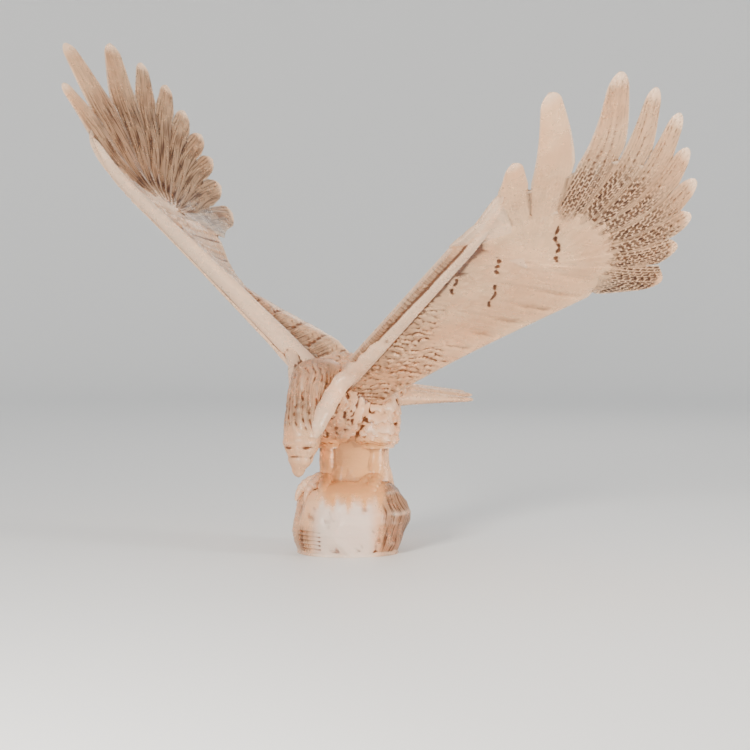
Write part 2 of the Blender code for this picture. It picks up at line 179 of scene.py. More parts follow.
def tube(name, rings, grain):
    # a closed body from rings of points, each end drawn to a middle point
    count, sides = rings.shape[:2]
    points = np.vstack([rings.reshape(-1, 3), rings[0].mean(0), rings[-1].mean(0)])
    grain = np.vstack([grain.reshape(-1, 4), grain[0].mean(0), grain[-1].mean(0)])
    j = np.arange(sides)
    n = (j + 1) % sides
    k = np.arange(count - 1)[:, None] * sides
    around = np.stack([k + j, k + n, k + sides + n, k + sides + j], axis=-1).reshape(-1, 4)
    first, top = count * sides, (count - 1) * sides
    start = np.stack([np.full(sides, first), n, j], axis=-1)
    end = np.stack([np.full(sides, first + 1), top + j, top + n], axis=-1)
    return putTriangled(name, points, around, np.vstack([start, end]), grain)


def sheetBody(name, top, bottom, topGrain, bottomGrain):
    # a closed body between two sheets of points with the same rows and columns
    rows, columns = top.shape[:2]
    under = rows * columns
    points = np.vstack([top.reshape(-1, 3), bottom.reshape(-1, 3)])
    i = np.arange(rows - 1)[:, None] * columns
    j = np.arange(columns - 1)
    upper = np.stack([i + j, i + j + 1, i + j + columns + 1, i + j + columns], axis=-1).reshape(-1, 4)
    lower = under + upper[:, ::-1]
    index = np.arange(under).reshape(rows, columns)
    rim = np.concatenate([index[0], index[1:, -1], index[-1, -2::-1], index[-2:0:-1, 0]])
    ahead = np.roll(rim, -1)
    side = np.stack([ahead, rim, under + rim, under + ahead], axis=-1)
    grain = np.vstack([topGrain.reshape(-1, 4), bottomGrain.reshape(-1, 4)])
    return putTriangled(name, points, np.vstack([upper, lower, side]), np.empty((0, 3), int), grain)


def putTriangled(name, points, quads, triangles, grain):
    # quads are cut along their shorter diagonal, so that bent ones keep a clean crease
    a, b, c, d = (points[quads[:, k]] for k in range(4))
    short = np.linalg.norm(a - c, axis=1) <= np.linalg.norm(b - d, axis=1)
    one = np.where(short[:, None], quads[:, [0, 1, 2]], quads[:, [1, 2, 3]])
    two = np.where(short[:, None], quads[:, [0, 2, 3]], quads[:, [1, 3, 0]])
    return putMesh(name, points, np.vstack([one, two, triangles]), grain)


def limb(name, path, width, top, bottom, sideHint, sides, relief=None, power=1.0, paintedShade=0.0, paintedLight=0.0):
    # a body along a path, with an oval section that has its own width, top and bottom at each point: a
    # ring is the path's point plus width x cosine to the side and top or bottom x sine upwards.
    # relief(run, turn, girth, rings) gives how far the surface is raised off the oval.
    along = unit(np.gradient(path, axis=0))
    side = np.broadcast_to(np.asarray(sideHint, float), path.shape)
    side = unit(side - (side * along).sum(-1, keepdims=True) * along)
    up = np.cross(side, along)
    turn = np.linspace(0, 2 * np.pi, sides, endpoint=False)
    across, rise = squarer(np.cos(turn), power), squarer(np.sin(turn), power)
    height = np.where(rise > 0, top[:, None], bottom[:, None])
    offset = (width[:, None] * across)[..., None] * side[:, None] + (height * rise)[..., None] * up[:, None]
    rings = path[:, None] + offset
    run = np.concatenate([[0], np.cumsum(np.linalg.norm(np.diff(path, axis=0), axis=1))])[:, None]
    girth = (width + (top + bottom) / 2)[:, None] / 2 * turn
    if relief is not None:
        rings = rings + unit(offset) * relief(run, turn, girth, rings)[..., None]
    girth = np.abs(turn - np.pi) * (width + top)[:, None] / 2
    return tube(name, rings, grainOf(run, girth, paintedShade, paintedLight))


# Wings
# Each lies in a bent sheet of its own: span from the shoulder out, chord from the front edge back.
wingPlan = {
    "length": 0.950,
    "hand": (0.500, 0.120),              # the point that the long feathers spread from
    "elbow": 0.450,
    "root": -0.060,                      # the wing starts inside the body
    "rootChord": 0.120,                  # from front to rear at the shoulder, and what each metre adds
    "chordGain": 0.340,
    "rearSag": 0.014,
    "frontStart": 0.010,                 # the front edge's chord at the shoulder, and what each metre adds
    "frontSweep": -0.058,
    "plate": 0.016,                      # thickness at the front and at the rear edge
    "rearPlate": 0.009,
    "mantleRise": 0.086,                 # how far the back swells over the wing roots
    "mantleSpan": 0.30,
    "mantleChord": 0.140,
}
# How each wing is held, in degrees and metres. sweep turns it in its own sheet, pitch tilts the chord at
# the root, elbow and tip, and lift raises it at the root, the elbow and past `bend`. lip is what stands in
# front of the front edge, droop lowers the rear edge, longer adds to the first and last feathers, and bow
# bends the feathers sideways.
wingHolds = {
    "left": dict(side=1, sweep=-25.4, pitch=(-32.7, -21.9, -9.9), lift=(19.0, 19.0, 65.5),
                 bend=(0.46, 1.06), height=0.369, lip=0.016, droop=0.0, longer=(0.0, 0.0), lastAngle=83.5,
                 bow=0.009),
    "right": dict(side=-1, sweep=-19.6, pitch=(-24.8, -21.6, -18.1), lift=(35.1, 35.1, 65.5),
                  bend=(0.50, 0.72), height=0.390, lip=-0.012, droop=0.018, longer=(0.050, 0.055),
                  lastAngle=78, bow=-0.011),
}


class WingSheet:
    # The sheet's line is summed outwards from the shoulder, in a direction that sweep and lift turn at
    # each span, and pitch tilts the chord. at() gives the place of a span, a chord and a rise: the
    # line's point plus the chord along the sheet plus the rise off it.
    def __init__(self, hold):
        side = hold["side"]
        self.hold = hold
        self.span = np.linspace(0, wingPlan["length"], 60)
        low, middle, high = hold["lift"]
        bend = smoothStep((self.span - hold["bend"][0]) / (hold["bend"][1] - hold["bend"][0]))
        lift = np.radians(np.interp(self.span, (0, 0.3), (low, middle)) + (high - middle) * bend)[:, None]
        stations = (0, wingPlan["elbow"], wingPlan["length"])
        pitch = np.radians(np.interp(self.span, stations, hold["pitch"]))[:, None]
        sweep = np.radians(hold["sweep"])
        back = -np.cos(pitch) * forward + np.sin(pitch) * upward
        over = np.sin(pitch) * forward + np.cos(pitch) * upward
        out = np.cos(lift) * leftward * side + np.sin(lift) * over
        self.out = np.cos(sweep) * out + np.sin(sweep) * back
        self.back = np.cos(sweep) * back - np.sin(sweep) * out
        self.over = np.cross(self.out, self.back) * side
        step = self.span[1] - self.span[0]
        run = np.vstack([np.zeros(3), np.cumsum((self.out[1:] + self.out[:-1]) / 2 * step, axis=0)])
        self.line = onBird(0, side * bird["shoulderSpan"] / 2, hold["height"]) + run

    def read(self, values, span):
        # straight between the stations along the span
        return np.stack([np.interp(span, self.span, values[:, k]) for k in range(3)], axis=-1)

    def at(self, span, chord, rise):
        # beyond either end the line runs on straight
        span, chord, rise = (np.asarray(p, float) for p in np.broadcast_arrays(span, chord, rise))
        beyond = np.clip(span - wingPlan["length"], 0, None) + np.clip(span, None, 0)
        place = self.read(self.line, span) + beyond[..., None] * self.read(self.out, span)
        place = place + chord[..., None] * self.read(self.back, span)
        return place + rise[..., None] * self.read(self.over, span)


def frontEdge(span):
    # straight: where it starts plus its sweep times the span
    return wingPlan["frontStart"] + wingPlan["frontSweep"] * span


def rearEdge(span):
    # it moves back in step with the span up to the elbow, less the sag of half a sine wave
    inner = np.clip(span, 0, wingPlan["elbow"])
    sag = wingPlan["rearSag"] * np.sin(np.pi * inner / wingPlan["elbow"])
    return wingPlan["rootChord"] + wingPlan["chordGain"] * inner - sag


wingArm = {
    "spanCuts": 190,
    "chordCuts": 96,
    "longFeathers": 10,                  # along the rear half, as wide as the CAD's laps
    "lapSlant": 0.55,                    # how many feathers a lap moves inwards from front to rear
    "lap": 0.0042,
    "shaft": 0.0018,
    "gap": 0.0016,                       # the cut between two of them
    "barbs": (0.0005, 0.018, 0.011),     # fine waves on them: rise, slant and step
    "upperRow": (0.036, 0.028, 0.0042),  # small feathers on top: length, width and rise
    "lowerRow": (0.017, 0.022, 0.0044),  # and on the underside, close to the body
    "band": (0.0148, 0.0065),            # the round band along the underside's front: half width, height
    "chains": (                          # drilled marks on the underside: from span, chord to span, chord
        (0.462, 0.080, 0.512, 0.052),
        (0.535, 0.160, 0.622, 0.110),
        (0.355, 0.122, 0.425, 0.098),
        (0.365, 0.040, 0.415, 0.020),
    ),
    "mark": (0.0190, 0.0034, 0.0045),    # step along the chain, half width and depth
    "bandSpan": 0.57,                    # where the band ends
    "smooth": (0.46, 0.06),              # the relief fades out from this span, over this length
    "groove": (0.056, 0.024, 0.0055),    # behind the front edge: how far, half width and depth
    "ridge": (0.088, 0.020),             # and the smooth ridge: how far behind the edge, and how softly
    "underDip": 0.0072,                  # half the thickness under the long feathers' roots
    "slant": -25,                        # degrees that the small feathers underneath lean outwards
}


def lapOf(span, share):
    # which long feather of the arm a point is on, counted from the root, and how far across it
    root, end = wingPlan["root"], wingPlan["hand"][0] + 0.03
    return (span - root) / (end - root) * wingArm["longFeathers"] - share * wingArm["lapSlant"]


def fadeOut(span):
    # 1 less the smoothStep of how far past the start of the smooth part a point is
    start, over = wingArm["smooth"]
    return 1 - smoothStep((span - start) / over)


def upperRelief(span, chord, share):
    # long feathers lap each other on the rear half, each a slope across it with a shaft in the middle and
    # a cut at its sides, under rows of small ones in front
    x = 2 * np.mod(lapOf(span, share), 1) - 1
    barbRise, barbSlant, barbStep = wingArm["barbs"]
    barbs = barbRise * np.sin((chord + np.abs(x) * barbSlant) * 2 * np.pi / barbStep)
    long = wingArm["lap"] * x * 0.5 + wingArm["shaft"] * bell(x, 0.12)
    long = long - wingArm["gap"] * bell(np.abs(x) - 1, 0.10) + barbs
    rowLong, rowWide, rise = wingArm["upperRow"]
    grown = 1 + 0.5 * share
    t, across = featherRows(chord, span, rowLong, rowWide, 0.6, 3)
    small = rise * grown * (t**1.3 * (1 - 0.35 * across**2) - 0.35) + 0.0006 * bell(across, 0.16) * t
    blend = smoothStep((share - 0.46 - 0.03 * np.cos(np.pi * x)) / 0.05)
    return small * (1 - blend) + long * blend


def drilledMarks(span, chord):
    # short cuts in a row, each a rounded dent, along a line that wavers a little
    step, half, depth = wingArm["mark"]
    total = np.zeros(np.broadcast(span, chord).shape)
    for fromSpan, fromChord, toSpan, toChord in wingArm["chains"]:
        way = np.array([toSpan - fromSpan, toChord - fromChord])
        reach = np.linalg.norm(way)
        way = way / reach
        along = (span - fromSpan) * way[0] + (chord - fromChord) * way[1]
        across = (chord - fromChord) * way[0] - (span - fromSpan) * way[1] + 0.003 * np.sin(along * 110)
        wide = half * (0.75 + 0.40 * np.sin(along * 330 + 40 * fromSpan))
        dent = bell(across, wide) * bell(np.mod(along / step, 1) - 0.5, 0.46 + 0.16 * np.sin(along * 210))
        total = total + dent * smoothStep(along / 0.006 + 1) * smoothStep((reach - along) / 0.006 + 1)
    return depth * np.clip(total, 0, 1)


def underRelief(span, chord, share):
    # close to the body rows of small wide tips crowd together; further out the frosted sheet is smooth,
    # with a few chains of drilled marks, and the long feathers show as faint laps at the rear edge
    slant = np.radians(wingArm["slant"])
    along = span * np.cos(slant) + chord * np.sin(slant)
    across = chord * np.cos(slant) - span * np.sin(slant)
    rowLong, rowWide, rise = wingArm["lowerRow"]
    bent = along + 0.0055 * np.sin(across * 75 + 2 * np.sin(along * 40))
    shifted = across + 0.0060 * np.sin(along * 85 + 1.5 * np.sin(across * 50))
    t, x = featherRows(bent, shifted, rowLong, rowWide, 0.5, 5)
    crowd = 1 - smoothStep((span + 1.5 * chord - 0.30 + 0.03 * np.sin(chord * 90)) / 0.14)
    broken = np.sin(along * 130 + 3 * np.sin(across * 70)) * np.sin(across * 105 + 2 * np.sin(along * 60))
    crowd = crowd * (0.30 + 0.70 * smoothStep((broken + 0.25) / 0.5))
    small = rise * (t**1.6 * (1 - 0.5 * x**2) - 0.3) * crowd
    lap = 2 * np.mod(lapOf(span, share), 1) - 1
    faint = 0.0010 * lap * smoothStep((share - 0.62) / 0.2)
    return (small + faint) * fadeOut(span) - drilledMarks(span, chord)


def frontBand(span, chord):
    # how far a point is off the middle of the band, 1 at its sides
    half = wingArm["band"][0] * (1 - 0.35 * smoothStep(span / 0.6))
    return (chord - frontEdge(span) - 0.0125) / half


def makeWingArm(wing, word):
    # one sheet from the shoulder out, with a round end under the roots of the long feathers: its two
    # sides lie half a thickness off the middle, plus the back's swell and the band, less the carving
    handSpan, handChord = wingPlan["hand"]
    palmStep = featherPlan["palmStep"]
    span = np.linspace(wingPlan["root"], handSpan + palmStep - 0.003, wingArm["spanCuts"])[:, None]
    share = np.linspace(0, 1, wingArm["chordCuts"]) ** 1.05
    beyond = np.clip(span - handSpan, 0, None)
    reach = np.sqrt(np.clip(palmStep**2 - beyond**2, 0.012**2, None))
    lip = wing.hold["lip"] * smoothStep(span / 0.06)
    low = np.maximum(frontEdge(span) - lip, handChord - reach)
    chord = low + (np.minimum(rearEdge(span), handChord + reach) - low) * share
    chord = chord + 0.004 * np.sin(span * 260) * smoothStep(beyond / 0.03) * (2 * share - 1)
    span = span + 0.003 * np.sin(chord * 170 + 2 * np.sin(chord * 60)) * smoothStep((beyond - 0.08) / 0.07)
    half = (wingPlan["plate"] + (wingPlan["rearPlate"] - wingPlan["plate"]) * share) / 2
    # beyond the hand it dips under the feathers' surface, so that they run into it without a step
    out = np.hypot(span - handSpan, chord - handChord) / palmStep
    under = half + (wingArm["underDip"] - half) * smoothStep(beyond / 0.06)
    under = under * (1 - 0.45 * smoothStep((out - 0.74) / 0.24) * smoothStep(beyond / 0.05))
    over = half * (1 - 0.7 * smoothStep((span - handSpan + 0.010) / 0.05))
    swell = np.clip(1 - np.clip(span, 0, None) / wingPlan["mantleSpan"], 0, 1)
    swell = wingPlan["mantleRise"] * swell**1.2
    mound = swell * smoothStep(chord / wingPlan["mantleChord"])
    droop = wing.hold["droop"] * smoothStep((chord - 0.03) / 0.2)
    middle = -droop * smoothStep((handSpan - span) / 0.14)
    edge = smoothStep(share / 0.04) * smoothStep((1 - share) / 0.04)
    rim = np.sqrt(np.clip(edge, 0.2, 1))
    off = frontBand(span, chord)
    band = wingArm["band"][1] * np.sqrt(np.clip(1 - off**2, 0, 1))
    band = band * (1 - smoothStep((span - wingArm["bandSpan"]) / 0.04))
    inBand = smoothStep((1.25 - np.abs(off)) / 0.25)
    lipStrip = smoothStep((-0.9 - off) / 0.2) * (1 - smoothStep((span - 0.44) / 0.10))
    carved = upperRelief(span, chord, share) * edge * fadeOut(span)
    cut = underRelief(span, chord, share) * edge * (1 - inBand) * (1 - 0.5 * lipStrip)
    # a deep groove runs behind the front edge near the body, with a smooth ridge behind it
    grooveBack, grooveHalf, grooveDepth = wingArm["groove"]
    ridgeBack, ridgeEase = wingArm["ridge"]
    groove = bell(chord - frontEdge(span) - grooveBack, grooveHalf) * (1 - smoothStep((span - 0.42) / 0.1))
    near = 1 - smoothStep((span - 0.20) / 0.12)
    ridge = smoothStep((chord - frontEdge(span) - ridgeBack) / ridgeEase) * near
    carved = carved * (1 - 0.7 * ridge) - grooveDepth * groove * edge
    top = wing.at(span, chord, middle + over * rim + mound + carved)
    bottom = wing.at(span, chord, middle - under * rim - cut - band)
    drilled = drilledMarks(span, chord) / wingArm["mark"][2]
    # painted shade on the upper side behind the front edge, deepest in the groove; painted highlight on the
    # ridge
    paintedShade = smoothStep((chord - frontEdge(span) - 0.03) / 0.02)
    paintedShade = paintedShade * (0.5 - 0.3 * smoothStep((span - 0.4) / 0.1)) * (1 - 0.85 * ridge)
    upper = grainOf(chord, span, np.maximum(paintedShade, np.clip(1.3 * groove, 0, 1)), 0.6 * ridge)
    # painted shade underneath: the strip on the lip's face turned from the light, the drilled dents and
    # darker mottled patches near the body; painted highlight on the band's lower side
    mottled = np.sin(span * 150 + 2 * np.sin(chord * 110)) * np.sin(chord * 170 + 2 * np.sin(span * 90))
    mottled = smoothStep((mottled + 0.1) / 0.6) * (1 - smoothStep((span + 1.5 * chord - 0.22) / 0.16))
    lowerPaintedShade = np.maximum(np.maximum(0.85 * lipStrip, drilled), 0.55 * mottled * (1 - inBand))
    lower = grainOf(chord, span, lowerPaintedShade, 0.8 * inBand * (1 - lipStrip))
    sheetBody(f"{word}WingArm", top, bottom, upper, lower)


wingRoll = {
    "rootRadius": 0.0215, "tipRadius": 0.0100, "end": 0.690, "cuts": 84, "sides": 18,
    "sunk": 0.006,                       # how deep it lies in the sheet
    "uneven": (0.0006, 0.07),            # by how much and over what length
}


def makeWingRoll(wing, word):
    # the thick rounded front edge, from inside the shoulder to the first long feather: circles that get
    # smaller outwards, each resting on the sheet, a little uneven
    share = np.linspace(0, 1, wingRoll["cuts"])
    span = wingPlan["root"] + (wingRoll["end"] - wingPlan["root"]) * share
    radius = wingRoll["rootRadius"] + (wingRoll["tipRadius"] - wingRoll["rootRadius"]) * share
    radius = radius * np.sqrt(np.clip(1 - share**24, 0.05, 1))
    turn = np.linspace(0, 2 * np.pi, wingRoll["sides"], endpoint=False)
    middle = (frontEdge(span) + radius * 0.75)[:, None]
    chord = middle + radius[:, None] * np.cos(turn)
    rise = radius[:, None] * (np.sin(turn) + 1) - wingRoll["sunk"]
    rings = wing.at(span[:, None], chord, rise)
    much, size = wingRoll["uneven"]
    rings = rings + wobble(rings, size, 21)[..., None] * much * unit(rings - rings.mean(1, keepdims=True))
    inner = 1 - smoothStep((span[:, None] - 0.42) / 0.10)
    # the near wing's inner front edge gets painted shade, the far wing's a painted highlight
    paintedShade, paintedLight = (0.45 * inner, 0.0) if word == "left" else (0.0, 0.7)
    tube(f"{word}WingFrontEdge", rings, grainOf(span[:, None], chord, paintedShade, paintedLight))


# The ten long feathers, from the front edge back: the angle off the span (that of the last one is in
# wingHolds), the length as a share of the wing beyond the hand, half the width near the tip and how it
# narrows, and the notches on either side of them
featherPlan = {
    "angles": (-31.3, -19, 1.0, 13.8, 25.2, 34.8, 45.5, 56, 67),
    "shares": (0.693, 0.962, 0.942, 0.884, 0.831, 0.756, 0.716, 0.658, 0.600, 0.582),
    "tips": (0.014, 0.017, 0.021, 0.017, 0.017, 0.018, 0.018, 0.018, 0.018, 0.024),
    "tapers": (1.0, 0.75, 0.95, 1.1, 1.2, 1.3, 1.3, 1.3, 1.3, 1.3),
    "notchAngles": (-37, -26, -8.5, 9, 21, 31, 41, 51, 61, 74, 104),
    "notchShares": (0.556, 0.540, 0.582, 0.649, 0.664, 0.678, 0.644, 0.618, 0.582, 0.529, 0.356),
    "bows": (-0.6, 0.3, 1, 1, 1, 1, 1, 0.8, 0.6, 0.4),
    "thickness": 0.0125,
    "tipThickness": 0.0085,
    "lean": 3.0,                         # degrees, so that each laps the next
    "start": 0.050,                      # how far from the hand they begin
    "cuts": 150,
    "halfSides": 22,
    "shaft": (0.0016, 0.0026),           # height and half width
    "ribStep": 0.0068,                   # fine ribs run along each feather
    "ribDepth": 0.0011,
    "slitStep": 0.0130,                  # and dark slits lie between them on the underside, near the roots
    "slitDepth": 0.0036,
    "slits": (0.150, 0.225, 0.075),      # from, until, and how softly they end, from the hand
    "barbs": (0.0012, 0.0125, 1.1),      # slanted steps over the whole feather: height, length and slant
    "plain": (2, 0.15),                  # the first ones have less of all this: how many, and how much
    "tipFade": (0.55, 0.20),             # how much of the painted shade fades towards the tip: the first three, the rest
    # the painted shade under the feathers
    "paintedUnderShade": 0.36,
    "palmStep": 0.158,                   # how far out the smooth sheet under the feathers' roots reaches
}


def featherOutline(wing, index, radius):
    # half the width to each side: as wide as the notches allow, then narrowing to a round end
    plan = featherPlan
    reach = wingPlan["length"] - wingPlan["hand"][0]
    angle = np.radians((*plan["angles"], wing.hold["lastAngle"])[index])
    first, last = wing.hold["longer"]
    length = reach * plan["shares"][index] + first * (index == 0) + last * max(0, index - 6.5) / 2.5
    radius = plan["start"] + (length - plan["start"]) * radius
    tip = plan["tips"][index]
    halves = []
    for notch in (index, index + 1):
        notchRadius = min(reach * plan["notchShares"][notch], length - 0.02)
        spread = abs(np.radians(plan["notchAngles"][notch]) - angle)
        atNotch = max(notchRadius * np.sin(spread) * 1.04, tip)
        past = np.clip((radius - notchRadius) / (length - notchRadius), 0, 1)
        taper = plan["tapers"][index]
        half = np.minimum(radius * np.sin(spread) * 1.04, tip + (atNotch - tip) * (1 - past) ** taper)
        if notch == 0:
            # the first feather's front side runs on from the front edge of the wing
            half = half * (1 + 0.42 * smoothStep((length - radius) / 0.13))
        roundEnd = np.clip((radius - (length - 1.4 * tip)) / (1.4 * tip), 0, 1)
        halves.append(half * np.sqrt(1 - 0.97 * roundEnd**2))
    return angle, length, radius, halves


def makeLongFeather(wing, word, index):
    # rings across the feather, closer together towards the tip. A ring is half the width to each side by
    # half the thickness times a flattened arch, with a shaft on it, less ribs, slits and barbs. All of it
    # leans by the lean's sine times the way across, so that it laps the next one.
    plan = featherPlan
    even = np.linspace(0, 1, plan["cuts"])
    angle, length, radius, halves = featherOutline(wing, index, 1 - (1 - even) ** 1.25)
    n = plan["halfSides"]
    even = np.linspace(1, -1, n)
    across = np.sin(np.concatenate([even, -even[1:-1]]) * np.pi / 2) * 0.5
    across = across + np.concatenate([even, -even[1:-1]]) * 0.5
    top = np.concatenate([np.ones(n), -np.ones(n - 2)])
    side = np.where(across > 0, halves[1][:, None], halves[0][:, None]) * across
    share = (radius / length)[:, None]
    half = (plan["thickness"] + (plan["tipThickness"] - plan["thickness"]) * share) / 2
    half = half * np.sqrt(np.clip(1 - share**14, 0.10, 1))
    body = np.sqrt(np.clip(1 - np.abs(across) ** 2.6, 0, 1))
    shaftRise, shaftHalf = plan["shaft"]
    shaft = shaftRise * bell(side, shaftHalf) * (1 - 0.6 * share)
    run = radius[:, None] * np.ones_like(side)
    plainOnes, plainShare = plan["plain"]
    plainer = plainShare if index < plainOnes else 1.0
    rib = side / plan["ribStep"]
    groove = bell(np.abs(np.mod(rib, 1) - 0.5) - 0.5, 0.20)
    ribs = plan["ribDepth"] * groove * smoothStep((run - 0.10) / 0.05) * smoothStep((1 - share) / 0.08)
    dash = (run - 0.55 * np.abs(side)) / plan["slitStep"] + 0.5 * np.round(rib) + 0.37 * index
    slitsFrom, slitsTo, slitsEase = plan["slits"]
    roots = smoothStep((run - slitsFrom - 0.012 * np.sin(np.round(rib) * 2.3 + index)) / 0.010)
    roots = roots * (1 - smoothStep((run - slitsTo) / slitsEase))
    slit = plan["slitDepth"] * groove * bell(np.mod(dash, 1) - 0.5, 0.27) * roots
    barbRise, barbStep, barbSlant = plan["barbs"]
    barbs = barbRise * np.mod((run - barbSlant * np.abs(side)) / barbStep + 0.37 * index, 1)
    barbs = barbs * smoothStep((run - 0.16) / 0.05)
    cut = np.where(top < 0, slit + (1.3 - 0.8 * roots) * ribs + barbs, ribs) * plainer
    # under the smooth end of the wing's sheet the roots are thin
    rise = (half * body + shaft - cut * np.sqrt(body)) * top
    rise = np.where(top > 0, rise, rise * (0.3 + 0.7 * smoothStep((run - 0.115) / 0.03)))
    lean = np.radians(plan["lean"])
    rise = rise + np.sin(lean) * side * smoothStep(share * 3)
    # the feather bows a little in the sheet
    bow = wing.hold["bow"] * np.sin(np.pi * np.clip((share - 0.42) / 0.58, 0, 1)) ** 2 * plan["bows"][index]
    span = wingPlan["hand"][0] + radius[:, None] * np.cos(angle) - (side + bow) * np.sin(angle)
    chord = wingPlan["hand"][1] + radius[:, None] * np.sin(angle) + (side + bow) * np.cos(angle)
    # painted highlight at the tips, painted shade on the upper side that fades towards the tip, and painted
    # shade underneath, darkest in the slits
    ends = smoothStep((share - 0.93) / 0.06)
    upper = 1 - plan["tipFade"][index >= 3] * smoothStep((share - 0.55) / 0.4)
    lower = plan["paintedUnderShade"] - 0.20 * roots + 0.25 * groove * (1 - roots)
    lower = np.maximum(lower, slit / plan["slitDepth"]) * (index >= plainOnes)
    # below 0 the second tone marks where dark strokes of painted shade lie in the cuts
    strokes = roots * (top < 0) * plainer
    paintedShade = np.where(top > 0, upper, lower) * (1 - ends)
    grain = grainOf(run - 0.35 * np.abs(side), side, paintedShade, 0.8 * ends - strokes)
    tube(f"{word}WingFeather{index + 1}", wing.at(span, chord, rise), grain)


palm = {
    "rays": 180, "rings": 40,
    "above": (0.0060, 0.0038),           # half the thickness at the hand, and how much less further out
    "below": (0.0022, 0.0046),           # and underneath, with what is added in front
    "short": (7.5, 0.0034),              # the short feathers behind: degrees to each, and rise
}


def makePalm(wing, word):
    # the sheet under the roots of the long feathers, out to the notches between them: a fan of rays from
    # the hand, each as long as the notches on either side of it allow
    plan = featherPlan
    reach = wingPlan["length"] - wingPlan["hand"][0]
    front = np.array([-88.0, -72.0, -56.0])
    lip = wing.hold["lip"] * np.array([1.0, 0.8, 0.4])
    handSpan, handChord = wingPlan["hand"]
    frontReach = (handChord + lip - frontEdge(handSpan + 0.08)) / np.sin(np.radians(-front))
    degrees = np.concatenate([front, plan["notchAngles"][:-1], [88.0, 103.0]])
    edge = np.concatenate([frontReach, reach * np.array(plan["notchShares"][:-1]), [0.190, 0.155]])
    edge[len(front) + 1:-2] *= 0.92
    fine = np.linspace(degrees[0], degrees[-1], palm["rays"])
    turn = np.radians(fine)
    edge = np.interp(fine, degrees, edge)
    radius = (0.03 + 0.97 * np.linspace(0, 1, palm["rings"]) ** 0.9)[:, None] * edge
    span = handSpan + radius * np.cos(turn)
    chord = handChord + radius * np.sin(turn)
    share = radius / edge
    inward = smoothStep((span - handSpan + 0.025) / 0.05)
    ends = smoothStep((fine - degrees[0]) / 14) * smoothStep((degrees[-1] - fine) / 14)
    # it is thick in front of the first long feather, and sunk under the others
    fore = 1 - smoothStep((fine + 42) / 5)
    thin, added = palm["below"]
    cover = thin + added * fore * ends
    thick, less = palm["above"]
    half = (thick - less * smoothStep((radius - 0.05) / 0.05)) * (0.4 + 0.6 * inward * ends)
    # behind the last long feather short ones lap on the upper side
    step, lapRise = palm["short"]
    lap = np.mod(fine / step, 1) - 0.5
    short = (lapRise * lap - 0.0016 * bell(np.abs(lap) - 0.5, 0.12)) * smoothStep((fine - 55) / 15)
    short = short * smoothStep(share / 0.3) * smoothStep((0.98 - share) / 0.06)
    # painted shade on the upper side away from the hand and underneath behind the thick front; painted
    # highlight under the thick front
    upper = grainOf(radius, turn * 0.2, 0.15 + 0.85 * smoothStep((radius - 0.05) / 0.06), 0.0)
    lower = grainOf(radius, turn * 0.2, 0.7 * (1 - fore), 0.5 * fore)
    top = wing.at(span, chord, half + short)
    sheetBody(f"{word}WingPalm", top, wing.at(span, chord, -cover), upper, lower)


def makeWing(word):
    # one bent sheet, and every form of the wing laid out on it
    wing = WingSheet(wingHolds[word])
    makeWingArm(wing, word)
    makeWingRoll(wing, word)
    makePalm(wing, word)
    for index in range(len(featherPlan["shares"])):
        makeLongFeather(wing, word, index)
    return wing                          # its sheet, which the collar starts from


# Body
torso = {
    "halfWidth": 0.070, "halfHeight": 0.066, "chest": 0.040, "rump": -0.270,
    "rows": (0.020, 0.0155, 0.0046),     # small feathers: length, width and rise
    "drill": 0.0052,                     # depth of the odd drilled marks between them
    "uneven": 0.0014,
    "cuts": (96, 112),                   # along it and round it
    # stations from the chest to the rump, and the share of the half width or half height at each
    "width": ((0, 0.12, 0.35, 0.6, 0.8, 1), (0.3, 0.78, 1.0, 0.92, 0.62, 0.30)),
    "back": ((0, 0.12, 0.4, 0.7, 1), (0.3, 0.9, 1.15, 0.8, 0.24)),
    "belly": ((0, 0.14, 0.35, 0.65, 0.85, 1), (0.4, 0.9, 1.6, 1.5, 0.6, 0.22)),
}


def bodyFeathers(run, turn, girth, rings):
    # each small feather rises from its root to its round tip, with drilled marks in a few patches
    long, wide, rise = torso["rows"]
    t, x = featherRows(run, girth, long, wide, 0.7, 11)
    drilled = smoothStep((wobble(rings, 0.045, 31) - 0.35) / 0.25) * bell(t - 0.08, 0.16) * bell(x, 0.7)
    feathers = rise * (t**1.4 * (1 - 0.5 * x**2) - 0.5)
    return feathers + torso["uneven"] * wobble(rings, 0.035, 4) - torso["drill"] * drilled


def makeTorso():
    # ovals from the chest to the rump, with the width, back and belly of each station
    cuts, sides = torso["cuts"]
    share = np.linspace(0, 1, cuts)
    ahead = torso["chest"] + (torso["rump"] - torso["chest"]) * share
    width, back, belly = (profile(*torso[k], share) for k in ("width", "back", "belly"))
    limb("torso", onBird(ahead, 0, bird["axisHeight"]), torso["halfWidth"] * width,
         torso["halfHeight"] * back, torso["halfHeight"] * belly, leftward, sides, bodyFeathers)


neck = {
    "radius": 0.040, "headHalfWidth": 0.035, "head": (-0.097, -0.150, 0.233), "beakTip": 0.167,
    "hackle": (0.088, 0.0120, 0.0036),   # the long neck feathers: length, width and rise
    "eye": (0.0115, 0.0035, 0.0040),     # each dark eye slit: half length, half height, depth
    "brow": 0.0024, "cere": 0.0014, "mouth": 0.0020,     # rise or depth of each
    "uneven": 0.0005,
    "cuts": (120, 132),                  # along it and round it
    "squareness": 0.92,
    # how much painted shade lies down the neck
    "paintedShade": 0.70,
}


